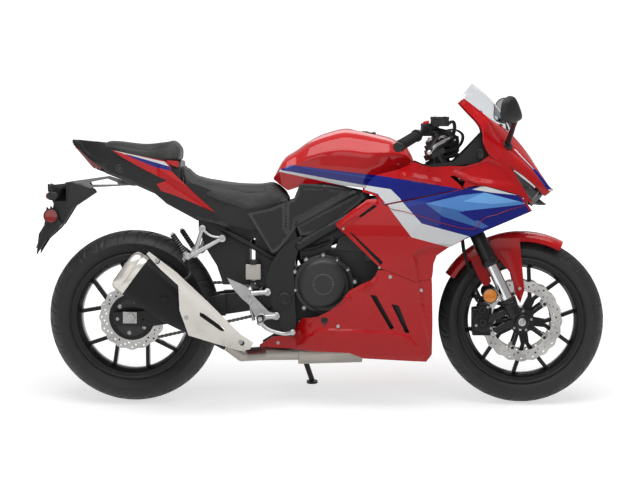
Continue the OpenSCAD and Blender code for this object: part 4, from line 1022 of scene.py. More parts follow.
plastic = finish("black_plastic", (0.013, 0.013, 0.0135), (0.36, 0.54), grain=(1300, 0.12),
    worn=(0.09, 0.09, 0.09), shine=0.34)
bm = bmesh.new()
turned(bm, (filler_x, 0, 974.4), (0, 0, 1), [(0, 0), (0, 33), (6, 33), (7.4, 31.6), (7.4, 26), (6, 25.2),
    (6, 20), (8.6, 19), (8.6, 0)], 64)
plate(bm, [(867, 974.5), (882, 974.5), (882, 981), (878, 983), (867, 983)], -9, 9)
plate(bm, [(828, 983), (856, 983), (854, 985.6), (830, 985.6)], -6, 6)
add_piece("filler_cap", bm, "root", plastic, "fuel_cap", ease=0.5)
bm = bmesh.new()
for k in range(7):
    a = math.radians(15 + 330 * k / 6)
    turned(bm, (filler_x + 28.6 * math.cos(a), 28.6 * math.sin(a), 980.4), (0, 0, 1),
        [(0, 3), (2, 3), (2.6, 2.4), (2.6, 1.4), (1.4, 1.2), (1.4, 0)], 14)
turned(bm, (filler_x, 0, 982.5), (0, 0, 1), [(0, 7), (3.6, 7), (4, 6.4), (4, 0)], 24)
add_piece("filler_bolts", bm, "root", zinc)

# ---------------------------------------------------------------- seats
# Two foam pads under textured vinyl, sewn along their edges: a low rider's seat that climbs to the tail,
# and a thin passenger's pad on the tail's crown.
vinyl = finish("seat_cover", (0.058, 0.058, 0.057), (0.46, 0.62), grain=(850, 0.5), spread=0.3, mottle=22)


def crowned(bm, xs, width, under, top, k=0.5, n=28, shrink=0.0):
    """A pad, flat below and crowned above, lofted along the machine."""
    rings = []
    for x in xs:
        w, z0, z1 = width(x) - shrink, under(x) + shrink * 0.5, top(x) - shrink
        ring = []
        for i in range(n + 1):
            a = math.pi * i / n
            c = math.cos(a)
            ring.append(Vector((x, w * squared(c, k), z0 + (z1 - z0) * max(0, math.sin(a)) ** 0.8)))
        rings.append(ring)
    skinned(bm, rings)
    return bm


def stuffed(name, bm, swell, seams):
    """Blows the pad up like foam under a tight cover, then sews its seams in."""
    pad = add_piece(name, bm, "root", vinyl)
    cage = pad.modifiers.new("cage", "REMESH")
    cage.mode, cage.voxel_size = "VOXEL", 0.006
    bpy.context.view_layer.update()
    pad.data = bpy.data.meshes.new_from_object(pad.evaluated_get(bpy.context.evaluated_depsgraph_get()))
    pad.modifiers.clear()
    before = np.empty(len(pad.data.vertices) * 3)
    pad.data.vertices.foreach_get("co", before)
    blow = pad.modifiers.new("blow", "CLOTH")
    blow.settings.use_pressure = True
    blow.settings.uniform_pressure_force = 4
    blow.settings.effector_weights.gravity = 0
    for step in range(1, 21):
        bpy.context.scene.frame_set(step)
    blown = bpy.data.meshes.new_from_object(pad.evaluated_get(bpy.context.evaluated_depsgraph_get()))
    after = np.empty(len(blown.vertices) * 3)
    blown.vertices.foreach_get("co", after)
    move = (after - before).reshape(-1, 3)
    size = np.linalg.norm(move, axis=1, keepdims=True)
    move *= np.minimum(1, swell / 1000 / np.maximum(size, 1e-9))
    blown.vertices.foreach_set("co", (before.reshape(-1, 3) + move).ravel())
    pad.modifiers.clear()
    pad.data = blown
    pad.data.materials.clear()
    pad.data.materials.append(vinyl)
    bpy.context.scene.frame_set(1)
    finer = pad.modifiers.new("finer", "SUBSURF")
    finer.levels = finer.render_levels = 1
    bpy.context.view_layer.update()
    smooth = bpy.data.meshes.new_from_object(pad.evaluated_get(bpy.context.evaluated_depsgraph_get()))
    pad.modifiers.clear()
    pad.data = smooth
    inverse = machine.inverted()
    for v in smooth.vertices:
        spot = inverse @ v.co
        sink = max((depth * math.exp(-((place(spot)) / 2.2) ** 2) for place, depth in seams), default=0)
        if sink > 0.02:
            v.co -= v.normal * sink / 1000
    smooth.shade_smooth()
    return pad


seat_wide = eased([(186, 92), (250, 118), (440, 118), (505, 112), (572, 100)])
seat_under = eased([(186, 797), (250, 760), (300, 735), (380, 707), (419, 693.2), (505, 712), (572, 734)])
seat_top = eased([(186, 886), (196, 858), (210, 836), (250, 815), (300, 805), (360, 796), (420, 792),
    (470, 793), (500, 799), (540, 778), (572, 752)])
pillion_wide = eased([(-118, 40), (-60, 66), (60, 88), (168, 96), (178, 88)])
pillion_under = eased([(-118, 932), (-60, 902), (20, 882), (120, 876), (178, 880)])
pillion_top = eased([(-118, 950), (-60, 947), (52, 937), (120, 944), (159, 946), (178, 925)])
bm = crowned(bmesh.new(), np.linspace(188, 571, 56), seat_wide, seat_under, seat_top, 0.45, shrink=3)
pad = stuffed("rider_pad", bm, 7, [(lambda p: (abs(p.y) - 0.8 * seat_wide(p.x)) if p.z > seat_top(p.x) - 34
    else 99, 2.6), (lambda p: p.x - 236 - 0.0006 * p.y * p.y if p.z > 790 else 99, 2.4),
    (lambda p: p.x - 486 + 0.0012 * p.y * p.y if p.z > 770 else 99, 2.2)])
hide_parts("rider_seat")
bm = crowned(bmesh.new(), np.linspace(-117, 177, 46), pillion_wide, pillion_under, pillion_top, 0.42,
    shrink=2.5)
pad = stuffed("pillion_pad", bm, 6,
    [(lambda p: (abs(p.y) - 0.8 * pillion_wide(p.x)) if p.z > pillion_top(p.x) - 22 else 99, 2.2),
    (lambda p: p.x - 132 - 0.0008 * p.y * p.y if p.z > 905 else 99, 1.8)])
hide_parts("pillion_seat")

thread = finish("seat_thread", (0.045, 0.045, 0.047), (0.5, 0.7), grain=(3000, 0.2), slot="seat_cover")
bm = bmesh.new()
for wide, top, x0, x1, drop in ((seat_wide, seat_top, 245, 478, 6.2), (pillion_wide, pillion_top, -90, 128,
        5.0)):
    for side in (-1, 1):
        for x in np.arange(x0, x1, 7.0).tolist():
            spots = [Vector((q, side * 0.78 * wide(q), top(q) - drop)) for q in (x, x + 4.4)]
            tube(bm, spots, 0.7, 5, 0)
add_piece("seat_stitches", bm, "root", thread)

# ---------------------------------------------------------------- tail
# A black textured shell closes the tail, with a red wing panel on each flank that carries the flash forward
# beside the seat. The rear lamp is a red lens along its lower tip.
tail_split = eased([(-226, 944), (-200, 922), (-140, 872), (-60, 866), (20, 854), (100, 830), (178, 800)])
tail_wide = eased([(-226, 18), (-200, 40), (-140, 66), (-60, 84), (100, 104), (178, 104)])
tail_top = eased([(-226, 956), (-200, 954), (-140, 944), (-119, 932), (-60, 904), (20, 886), (120, 878),
    (178, 878)])
bm = crowned(bmesh.new(), np.linspace(-225.5, 177.5, 60), tail_wide, tail_split, tail_top, 0.24, n=40)
add_piece("tail_shell", bm, "root", plastic, "tail_cowl", sharp=46)
dress(plastic, "tail_under_cover", "inner_mudguard", "cowl_stay", ease=1.4)


def mirrored(bm):
    """Adds the left-hand twin of a right-hand shape."""
    twin = bmesh.ops.duplicate(bm, geom=bm.verts[:] + bm.edges[:] + bm.faces[:])["geom"]
    bmesh.ops.scale(bm, vec=(1, -1, 1), verts=[g for g in twin if isinstance(g, bmesh.types.BMVert)])
    return bm


tail_side_wide = eased([(-225, 20), (-200, 40), (-140, 67), (-60, 86), (100, 106), (178, 108), (240, 110),
    (361, 116)])


def tail_side(x, z):
    """The flank swells outward along a line from the tip to the seat."""
    ridge = 930 - 0.36 * (x + 214) if x < 100 else 817 - 0.62 * (x - 100)
    return -(tail_side_wide(x) - 9 * min(1, abs(z - ridge) / 55) ** 1.4)


flank = [(-212, 955.5), (-169, 951), (-105, 944), (-91, 927), (-73, 919), (-30, 893), (49, 850), (128, 812),
    (160, 800), (230, 760), (305, 695), (358, 640), (243, 668), (128, 724), (85, 760), (12, 792),
    (-96, 833), (-105, 848), (-126, 860), (-196, 927)]
bm = flat_mesh(bmesh.new(), flank, lines=[[(-169, 946), (-96, 923), (-14, 885), (90, 838)],
    [(-150, 900), (-60, 858), (60, 812), (150, 762)]], pitch=8, lift=tail_side)
thick(bm, Vector((0, 3, 0)))
mirrored(bm)
add_piece("tail_flanks", bm, "root", plastic, sharp=34, ease=0.7)
bm = bmesh.new()
for side in (-1, 1):
    turned(bm, (-43, side * -tail_side(-43, 851), 851), (0, side, 0), [(-2, 15), (1.4, 15), (2.2, 14),
        (2.2, 12), (-0.6, 10.5), (-0.6, 6), (1.5, 5.6), (1.5, 2.6), (0, 2.4), (0, 0)], 28)
add_piece("tail_flank_bolts", bm, "root", cover_black)

lamp_red = finish("lamp_red", (0.33, 0.004, 0.008), (0.08, 0.16), coat=1.0, grain=(420, 0.5), spread=0.4,
    mottle=60)
dress(lamp_red, "tail_light", ease=2.0)
bm = bmesh.new()
for side in (-1, 1):
    rings = []
    for x, z, w in ((-203, 927, 30), (-190, 917, 36), (-160, 888, 47), (-126, 857, 56), (-116, 849, 54)):
        rings.append([(x - 1, side * (w - 16), z - 4), (x - 4, side * (w + 1), z - 4),
            (x + 3, side * (w + 5), z + 3), (x + 5, side * (w - 6), z + 4)])
    skinned(bm, rings)
add_piece("tail_lamp_wings", bm, "root", lamp_red, ease=1.0)
bm = bmesh.new()
for side in (-1, 1):
    tube(bm, [(-214, side * 29, 928), (-178, side * 31, 901), (-146, side * 32, 876)], 2.0, 10, 6)
add_piece("tail_light_bars", bm, "root", finish("lamp_rim", (0.5, 0.5, 0.5), (0.15, 0.3), metal=1.0,
    slot="plain_alloy"))

wing = [(-73, 918), (118, 880.5), (137, 873), (146, 843), (225, 767), (305, 694), (153, 757), (108, 771),
    (92, 796), (129, 808), (50, 846), (-30, 889)]
wing_wide = eased([(-110, 84), (-60, 92), (20, 101), (100, 110), (180, 114), (240, 116), (305, 121)])


def wing_lift(x, z):
    """The wing panel's face, with a raised crease along its front half."""
    crease = 832 - 0.63 * (x - 129)
    return -wing_wide(x) - (3.5 - 0.12 * abs(z - crease) if x > 100 and abs(z - crease) < 29 else 0)


bm = flat_mesh(bmesh.new(), wing, lines=[[(129, 832), (295, 700)]], pitch=7, lift=wing_lift)
thick(bm, Vector((0, 4, 0)))
mirrored(bm)
wing_paint = livery("wing_paint", red, [(white, [[(-72, 918.5), (122, 876), (138, 859), (-23, 903)]]),
    (blue, [[(-23, 904.5), (137, 860), (146, 843), (86, 857), (4, 890)]])], slot="body_red")
add_piece("tail_wings", bm, "root", wing_paint, sharp=26, ease=0.7)
bm = flat_mesh(bmesh.new(), [(126, 882), (171, 878), (172, 874), (170, 855), (142, 866)], pitch=8,
    lift=lambda x, z: -wing_wide(x) + 5)
thick(bm, Vector((0, 3, 0)))
mirrored(bm)
add_piece("tail_corners", bm, "root", wing_paint, ease=0.6)

# ---------------------------------------------------------------- plate hanger, rear indicators and reflector
# A folded steel arm and a black plastic bracket with a blank plate face are bolted under the tail. They carry
# amber indicators in black shells and two round red reflectors.
# The arm is coloured grey rather than the black of its frame_black slot, a painted highlight over its face;
# its paler edges are wear.
hanger_grey_painted_highlight = finish("hanger_steel_painted_highlight", (0.09, 0.09, 0.092), (0.3, 0.42), metal=0.5, grain=(1500, 0.05),
    worn=(0.3, 0.3, 0.3), slot="frame_black")
bm = flat_mesh(bmesh.new(), [(-252, 799), (-225, 804), (-96, 822), (-60, 811), (4, 790), (-156, 781),
    (-158, 769), (-239, 699), (-253, 699)],
    [[(-163, 800), (-96, 813), (-57, 798), (-60, 791), (-158, 790)]], pitch=14, lift=lambda *_: -30)
thick(bm, Vector((0, 5, 0)))
mirrored(bm)
plate(bm, [(-60, 811), (4, 790), (4, 786), (-60, 795)], -30, 30)
plate(bm, [(-250, 799), (-225, 803), (-225, 797), (-250, 793)], -30, 30)
add_piece("plate_arms", bm, "root", hanger_grey_painted_highlight, ease=0.8)
bm = bmesh.new()
for side in (-1, 1):
    plate(bm, [(-234, 803), (-150, 775), (-142, 762), (-217, 712), (-259, 645), (-292, 700)], side * 24,
        side * 38)
    plate(bm, [(-314, 795), (-267, 778), (-234, 800), (-259, 645), (-292, 720), (-314, 770)], side * 22,
        side * 42)
    plate(bm, [(-317, 712), (-259, 650), (-276, 629), (-318, 592), (-355, 534), (-346, 612), (-326, 645)],
        side * 40, side * 52)
plate(bm, [(-300, 790), (-245, 796), (-245, 730), (-288, 730)], -42, 42)
plate(bm, [(-292, 730), (-262, 730), (-270, 640), (-316, 600), (-322, 604), (-300, 690)], -34, 34)
add_piece("plate_bracket", bm, "root", plastic, "plate_hanger", sharp=30, ease=1.4)
amber = finish("lamp_amber", (0.95, 0.26, 0.008), (0.1, 0.2), coat=1.0, grain=(500, 0.5), spread=0.25,
    mottle=70, slot="lamp_red")
bm = bmesh.new()
for side in (-1, 1):
    spot = Vector((-288, side * 74, 752))
    turned(bm, spot, (0, side, 0), [(0, 9.6), (6, 12), (10, 19), (40, 21), (46, 17)], 28)
for v in bm.verts:
    v.co.z = 752 + (v.co.z - 752) * 0.74
add_piece("indicator_shells", bm, "root", plastic)
bm = bmesh.new()
for side in (-1, 1):
    ring = bmesh.new()
    turned(ring, (-300, side * 99, 752), (-1, 0, 0), [(-4, 17.5), (6, 17.5), (10, 15), (12, 9), (12.6, 0)],
        28)
    for v in ring.verts:
        v.co.z = 752 + (v.co.z - 752) * 0.62
    join(bm, ring)
add_piece("indicator_lenses", bm, "root", amber)
rear_reflector = (-300, 61, 678)
bm = bmesh.new()
for side in (-1, 1):
    turned(bm, (rear_reflector[0], side * rear_reflector[1], rear_reflector[2]), (0, side, 0),
        [(-1, 27), (4, 27), (6, 25.4), (6, 23.6), (4.6, 23)], 40)
add_piece("reflector_rims", bm, "root", plastic)
bm = bmesh.new()
for side in (-1, 1):
    turned(bm, (rear_reflector[0], side * rear_reflector[1], rear_reflector[2]), (0, side, 0),
        [(0, 24), (5.2, 24), (5.8, 20), (6.0, 0)], 40)
add_piece("rear_reflectors", bm, "root", lamp_red)
plate_face = bmesh.new()
plate(plate_face, [(-357, 560), (-355, 560), (-300, 690), (-302, 690)], -55, 55)
add_piece("plate_bracket_face", plate_face, "root", cover_black, ease=0.8)

# Black rail covers close the gap under the seat, between the tail and the side covers.
rail_outline = [(200, 805), (250, 790), (310, 765), (380, 716), (430, 706), (520, 722), (560, 735),
    (520, 640), (430, 630), (350, 650), (290, 690), (230, 735), (190, 770)]


def rail_lift(x, z):
    """The cover folds inward along a line that falls toward the front."""
    return -112 - 3 * min(1, abs(z - 730 + 0.2 * (x - 330)) / 50)


bm = flat_mesh(bmesh.new(), rail_outline, lines=[[(215, 775), (330, 700), (480, 690)]], pitch=14,
    lift=rail_lift)
thick(bm, Vector((0, 3, 0)))
mirrored(bm)
add_piece("rail_covers", bm, "root", plastic, ease=0.7)

# ---------------------------------------------------------------- side covers
# Textured black moulded panels between the tank and the seat, with a raised frame and a rib along each.
# They push into rubber bushes on the frame.
cover_outline = [(589, 743), (611, 797), (650, 797.5), (719, 793), (834, 768), (845, 747), (737, 658),
    (650, 615), (612, 612), (600, 644), (568, 600), (532, 556), (511, 547), (422, 690), (500, 708)]


def cover_lift(x, z):
    """The cover's face: a raised top edge, a rib and a fold toward the seat."""
    top = 9 * min(1, max(0, (z - (786 - 0.075 * (x - 611))) / 7)) if x > 560 else 0
    rib = 8 * min(1, max(0, (11 - abs(z - (657 + 0.53 * (x - 598)))) / 4)) if x > 598 else 0
    fold = 6 * min(1, max(0, (504 + 22 - x + (z - 576) * 0.8) / 12)) if x < 560 else 0
    return -(133 + max(top, rib) - fold)


bm = flat_mesh(bmesh.new(), cover_outline, lines=[[(599, 669), (790, 770)], [(599, 665), (792, 766)],
    [(599, 650), (800, 755)], [(599, 646), (800, 751)], [(611, 787), (830, 770)], [(611, 793), (830, 776)]],
    pitch=7, lift=cover_lift)
thick(bm, Vector((0, 3, 0)))
mirrored(bm)
add_piece("side_cover_panels", bm, "root", plastic, "side_covers", ease=0.7)

# ---------------------------------------------------------------- side fairings
# Injection-moulded panels about three millimetres thick, lacquered, with creased edges and air slots that
# open onto the black inside. They screw to the frame with small flanged bolts.
fairing_along = eased([(420, 0.56), (606, 0.62), (640, 0.8), (740, 0.9), (880, 0.97), (1000, 1), (1100, 1),
    (1200, 0.95), (1300, 0.84), (1380, 0.68), (1450, 0.47), (1500, 0.28), (1540, 0.1)])
fairing_up = eased([(140, 0.52), (170, 0.62), (220, 0.72), (320, 0.82), (450, 0.9), (560, 0.97), (650, 1),
    (740, 0.98), (800, 0.92), (860, 0.84), (950, 0.75), (1050, 0.66), (1120, 0.6)])


def fairing_out(x, z):
    """How far the fairing stands out from the middle of the machine."""
    return 235 * fairing_along(x) * fairing_up(z)


def edge_reach(x, z, ring):
    """How far inside a convex outline a place lies; negative outside it."""
    turn_way = sum((x1 - x0) * (z1 + z0) for (x0, z0), (x1, z1) in zip(ring, ring[1:] + ring[:1]))
    reach = 1e9
    for (x0, z0), (x1, z1) in zip(ring, ring[1:] + ring[:1]):
        length = math.hypot(x1 - x0, z1 - z0) * math.copysign(1, turn_way)
        reach = min(reach, ((x - x0) * (z1 - z0) - (z - z0) * (x1 - x0)) / length)
    return reach


def step_in(x, z, ring, depth, ramp=14):
    """A pressed-in field with sloping sides."""
    return depth * min(1, max(0, edge_reach(x, z, ring) / ramp))


def moulding(name, outline, holes, steps, paint, *nodes, pitch=9):
    """A pair of fairing panels with their pressed fields, and a black inner face."""

    def lift(x, z):
        return -(fairing_out(x, z) - sum(step_in(x, z, *s) for s in steps)) + 0.3

    bm = flat_mesh(bmesh.new(), outline, holes, [list(s[0]) + [s[0][0]] for s in steps], pitch, lift)
    bm.normal_update()
    outer = bm.faces[:]
    grown = bmesh.ops.extrude_face_region(bm, geom=outer)["geom"]
    for face in (g for g in grown if isinstance(g, bmesh.types.BMFace)):
        face.material_index = 1
    bmesh.ops.translate(bm, vec=(0, 3, 0), verts=[g for g in grown if isinstance(g, bmesh.types.BMVert)])
    mirrored(bm)
    panel = add_piece(name, bm, "root", paint, *nodes, sharp=24, ease=0.7)
    panel.data.materials.append(plastic)
    return panel


band = [[(844, 779), (853, 794), (938, 781), (893, 765)], [(893, 765), (938, 781), (971, 749), (979, 737),
    (922, 729)], [(922, 729), (979, 737), (1048, 660), (1012, 611)], [(1012, 611), (1048, 660), (1216, 614),
    (1146, 575)]]
seam_line = [(919, 728), (1187, 781.5), (1204, 789), (1272, 794), (1400, 758), (1427, 727), (1444, 704)]
# The brightest blue facet, (0.2, 0.48, 0.92), is a pale facet of the flash whose colour also carries a
# painted highlight.
side_paint = livery("side_paint", red,
    [(blue, [[(925, 772), (1200, 800), (1500, 800), (1500, 600), (1180, 600), (1030, 640), (950, 735)]]),
    ((0.013, 0.035, 0.32), [[(979, 737), (1187, 779), (1215, 772), (1062, 733), (1005, 712)]]),
    (pale_blue, [[(1062, 731), (1186, 759), (1272, 769), (1429, 727), (1195, 704)]]),
    ((0.2, 0.48, 0.92), [[(1196, 738), (1272, 769), (1400, 735), (1300, 728)]]),
    ((0.06, 0.17, 0.46), [[(1062, 731), (1195, 704), (1125, 684)], [(1125, 684), (1195, 704), (1286, 648),
    (1263, 641)]]), (blue, [[(1180, 700), (1440, 722), (1420, 705), (1236, 668)]]),
    (white, band + [[(1217, 777), (1272, 794), (1397, 768), (1406, 750), (1300, 768)]]),
    (red, [[(1380, 790), (1460, 790), (1460, 690), (1436, 700), (1416, 729), (1392, 764)]])],
    slot="body_red")
side_outline = [(741, 656), (797, 703), (856, 745), (897, 746), (917, 723)]
side_outline += [(x + 1.5, z - 3.2) for x, z in seam_line[1:]]
side_outline += [(1217, 610), (1145, 574), (1102, 545), (1091, 516), (1088, 480), (1085, 462),
    (1030, 449.5), (917, 494), (903, 498), (778, 620), (750, 643)]
moulding("side_panels", side_outline, [[(789, 630), (800, 626), (911, 522), (903, 510)],
    [(823, 684), (879, 726), (890, 720), (833, 681)]],
    [([(741, 656), (750, 643), (775, 640), (895, 726), (897, 746), (856, 745), (797, 703)], -5, 9),
    ([(1014, 551), (1043, 575), (1113, 589), (1160, 585), (1120, 480), (1088, 425), (1034, 425)], 13, 13)],
    side_paint, "side_fairings")

bm = bmesh.new()
for side in (-1, 1):
    ridge = [(x, side * (fairing_out(x, z) + 0.4), z - 1.5) for x, z in seam_line[:-1]]
    tube(bm, ridge, 1.9, 8, 4)
    crease = [(x, side * (fairing_out(x, z) + 0.5), z) for x, z in ((922, 729), (941, 711), (983, 703),
        (1027, 690), (1068, 677), (1108, 665), (1150, 653), (1194, 643), (1235, 640.5), (1252, 660),
        (1266, 674), (1281, 683), (1317, 691), (1358, 706), (1416, 720))]
    tube(bm, crease, 1.1, 6, 3)
add_piece("cowl_seam_beads", bm, "root", livery("seam_red", (0.36, 0.005, 0.008), [], slot="body_red"))

lower_paint = livery("lower_paint", red, [], slot="body_red")
lower_outline = [(1030, 448.1), (917.5, 492.4), (893, 493), (884, 473), (869, 456), (833, 441), (789, 416),
    (760, 376), (720, 344), (676, 322), (621, 314), (600, 290), (584, 250), (511, 243), (463, 214),
    (463, 206), (610, 196), (790, 190), (840, 169), (1016, 160), (1066, 158), (1086, 186), (1088, 300),
    (1086, 440), (1084.6, 460.8)]
moulding("lower_panels", lower_outline, [[(865, 403), (887, 401), (951, 284), (938, 277)],
    [(941, 369), (967, 366), (1006, 266), (991, 266)]],
    [([(588, 213), (677, 282), (943, 272), (1007, 256), (1060, 186), (1050, 165), (840, 172), (610, 199)],
    -6, 8), ([(1026, 500), (1100, 500), (1100, 170), (1078, 180), (1040, 379)], 13, 13),
    ([(604, 300), (625, 322), (790, 412), (802, 388), (640, 296)], -5, 8),
    ([(800, 395), (800, 425), (868, 458), (882, 474), (896, 462), (866, 424)], -5, 8)], lower_paint,
    "lower_fairings")
bm = bmesh.new()
for side in (-1, 1):
    for x, z, sunk in ((937, 468, 0), (1047, 420, 8), (750, 288, -5), (529, 220, 0)):
        spot = (x, side * (fairing_out(x, z) - sunk - 0.5), z)
        turned(bm, spot, (0, side, 0), [(-2, 6.4), (1, 6.4), (1.8, 5.6), (1.8, 4.4), (3.4, 4.0), (3.4, 2.4),
            (2, 2.2), (2, 0)], 20)
    for x, z in ((770, 640), (898, 502)):
        bolt(bm, (x, side * (fairing_out(x, z) + 1), z), (0, side, 0), 3.4, 2.2)
add_piece("fairing_bolts", bm, "root", zinc)
bm = bmesh.new()
for side in (-1, 1):
    turned(bm, (701, side * (fairing_out(701, 309) - 0.5), 309), (0.1, side, 0.1),
        [(-2, 13), (2, 13), (4, 11), (4, 6), (2.4, 5), (2.4, 0)], 28)
add_piece("fairing_bungs", bm, "root", plastic)

# Black liners close the fairing behind its slots and along the leading edge.
liner = [(775, 640), (860, 735), (1000, 745), (1150, 745), (1250, 760), (1330, 745), (1330, 700),
    (1210, 625), (1140, 590), (1075, 560), (1062, 240), (1040, 190), (880, 210), (820, 260), (850, 380),
    (900, 480), (880, 530)]
bm = flat_mesh(bmesh.new(), liner, pitch=22, lift=lambda x, z: -(fairing_out(x, z) - 26))
thick(bm, Vector((0, 2, 0)))
mirrored(bm)
add_piece("fairing_liners", bm, "root", plastic, sharp=30)

# ---------------------------------------------------------------- upper cowls
# Lacquered plastic shoulders of the fairing, from the tank to the lamps, with a fin over the air vent. The
# flash runs across them from the tank.
upper_paint = livery("upper_paint", red,
    [(blue, [[(850, 786), (866, 834), (1206, 779), (1204, 760), (917, 722)]]),
    (white, [[(844, 779), (853, 794), (938, 781), (893, 764)], [(893, 764), (938, 781), (971, 749),
    (981, 733), (921, 722)]]),
    (red, [[(834, 772), (842, 781), (893, 761), (925, 727), (917, 715), (880, 750)]])], slot="body_red")
upper_outline = [(836, 773), (886, 756), (915, 727)]
upper_outline += [(x - 0.5, z + 1.2) for x, z in seam_line[:-2]]
upper_outline += [(1428, 735), (1446, 727), (1371, 851), (1328, 883), (1297, 903), (1285, 897), (1256, 877),
    (1200, 862), (1149, 863), (1088, 859), (1052, 865), (1022, 878), (971, 852), (885, 831), (860, 805)]
moulding("shoulder_panels", upper_outline, [[(1148, 826), (1164, 830), (1203, 808), (1193, 786),
    (1177, 803)]], [([(1150, 850), (1285, 890), (1330, 872), (1395, 790), (1290, 800), (1215, 812)], 6, 12),
    ([(980, 842), (1135, 812), (1100, 792), (975, 818)], -4, 9)], upper_paint, "upper_cowls", pitch=8)
bm = bmesh.new()
for side in (-1, 1):
    rings = []
    for x, z, proud in ((1160, 844, 1), (1185, 830, 6), (1210, 818, 8), (1240, 806, 7), (1272, 796, 2)):
        y = fairing_out(x, z)
        rings.append([(x, side * (y - 2), z + 2), (x, side * (y + proud), z),
            (x - 6, side * (y + proud * 0.8), z - 5), (x - 10, side * (y - 2), z - 9)])
    skinned(bm, rings)
add_piece("vent_fins", bm, "root", livery("fin_red", red, [], slot="body_red"))

# ---------------------------------------------------------------- nose, screen and mirrors
# A beaked, lacquered nose panel over twin lamps, and a lightly tinted acrylic screen held by four bolts. The
# mirrors are glass in black shells, on stalks bolted through the nose.
nose_mid = [(1526, 0, 772), (1509, 0, 790), (1490, 0, 820), (1467, 0, 857), (1439, 0, 899), (1411, 0, 936),
    (1382, -10, 968), (1340, -52, 1003), (1292, -92, 1033), (1240, -122, 1068), (1193, -138, 1098)]
nose_out = [(1500, -34, 756), (1490, -46, 760), (1462, -74, 790), (1420, -100, 826), (1376, -128, 856),
    (1330, -150, 882), (1292, -164, 906), (1270, -170, 950), (1262, -166, 1005), (1212, -156, 1062),
    (1184, -144, 1092)]
nose_paint = livery("nose_paint", red,
    [(white, [[(1378, 924), (1388, 920), (1514, 786), (1506, 786)], [(1440, 860), (1460, 846), (1524, 770),
    (1512, 768)]]), (blue, [[(1392, 908), (1450, 850), (1448, 848)], [(1450, 850), (1462, 848), (1520, 776),
    (1500, 776), (1448, 848)]])], slot="body_red")
middle, outer = curve_through(nose_mid, 6), curve_through(nose_out, 6)
bm = bmesh.new()
for side in (-1, 1):
    grid = []
    for p, q in zip(middle, outer):
        row = []
        for v in np.linspace(0, 1, 22).tolist():
            b = 16 * math.sin(math.pi * v) - 5 * math.exp(-((v - 0.55) / 0.06) ** 2)
            spot = p.lerp(q, v) + Vector((0.6 * b, -0.5 * b, 0.6 * b - 1.1))
            row.append((spot.x, -side * spot.y, spot.z))
        grid.append(row)
    part = bmesh.new()
    skinned(part, grid, closed=False)
    thick(part, Vector((-3, 0, -3)))
    join(bm, part)
add_piece("nose_panel", bm, "root", nose_paint, "nose_cowl", sharp=32)

acrylic, tree, shader = blank_material("screen_clear")
shader.inputs["Transmission Weight"].default_value = 1.0
shader.inputs["IOR"].default_value = 1.05
shader.inputs["Metallic"].default_value = 0
gloss = tree.nodes.new("ShaderNodeGroup")
gloss.node_tree = lacquer
tree.links.new(ranged(tree, gloss.outputs["Haze"], (0.0, 0.002)), shader.inputs["Roughness"])
smoke = mix_colour(tree, gloss.outputs["Haze"], (0.75, 0.76, 0.77), (0.79, 0.8, 0.81))
tree.links.new(smoke, shader.inputs["Base Color"])


def screen_point(u, v):
    """A place on the screen's outer face: u runs up it and v runs across it."""
    c = 2 * v - 1
    low = Vector((1381 - 190 * abs(c) ** 1.7, -138 * c, 964.5 + 126 * abs(c) ** 1.5))
    high = Vector((1228 - 34 * c * c, -96 * c, 1158 - 46 * c * c))
    swell = 14 * math.sin(math.pi * u) + 0.35
    return low.lerp(high, u) + Vector((swell, 0, swell))


bm = bmesh.new()
skinned(bm, [[screen_point(u, v) for v in np.linspace(0, 1, 41).tolist()]
    for u in np.linspace(0, 1, 25).tolist()], closed=False)
thick(bm, 2.6)
add_piece("screen", bm, "root", acrylic, "windscreen", sharp=50)
bm = bmesh.new()
for v in (0.12, 0.3, 0.7, 0.88):
    turned(bm, screen_point(0.06, v), (0.7, 0, 0.7), [(-2, 6), (1.2, 6), (2.6, 4.4), (2.6, 0)], 16)
add_piece("screen_bolts", bm, "root", plastic)

mirror_outline = [(1370, 1108), (1351, 1110), (1332, 1094), (1325, 1066), (1323, 1038), (1334, 1022),
    (1356, 1015), (1382, 1020), (1399, 1033), (1392, 1064), (1382, 1090)]
mirror_outline = [(p.x, p.y)
    for p in curve_through([(x, z, 0) for x, z in mirror_outline[-1:] + mirror_outline], 4)[:-1]]


def mirror_ring(out, k, side):
    """The mirror's outline on a plane turned inward to the rider, so far out from the glass."""
    return [(1358 + (x - 1358) * k + out * 0.7, side * (300 - (x - 1358) * k * 0.8 + out * 0.7),
        1063 + (z - 1063) * k) for x, z in mirror_outline]


bm = bmesh.new()
for side in (-1, 1):
    skinned(bm, [mirror_ring(out, k, side) for out, k in ((19, 0.1), (18, 0.45), (15, 0.7), (10, 0.87),
        (4, 0.97), (0, 1.0), (-3, 0.99), (-3, 0.93), (-1, 0.92))])
add_piece("mirror_shells", bm, "root", plastic, "mirrors", sharp=50)
bm = bmesh.new()
for side in (-1, 1):
    tube(bm, [(1357, side * 90, 944), (1364, side * 140, 968), (1372, side * 205, 1002),
        (1378, side * 270, 1034)], [12, 10, 9, 12], 14)
    turned(bm, (1355, side * 84, 938), Vector((0.4, side * 0.4, 0.7)), [(-8, 22), (4, 22), (7, 18), (8, 12),
        (9, 0)], 28)
add_piece("mirror_stalks", bm, "root", plastic)
mirror_glass = finish("mirror_glass", (0.72, 0.74, 0.76), (0.03, 0.06), metal=1.0, grain=(200, 0.01),
    spread=0.05, slot="lamp_clear")
bm = bmesh.new()
for side in (-1, 1):
    skinned(bm, [mirror_ring(out, k, side) for out, k in ((-0.6, 0.93), (-2, 0.925), (-2.4, 0.9),
        (-2.4, 0.5))])
add_piece("mirror_glasses", bm, "root", mirror_glass)

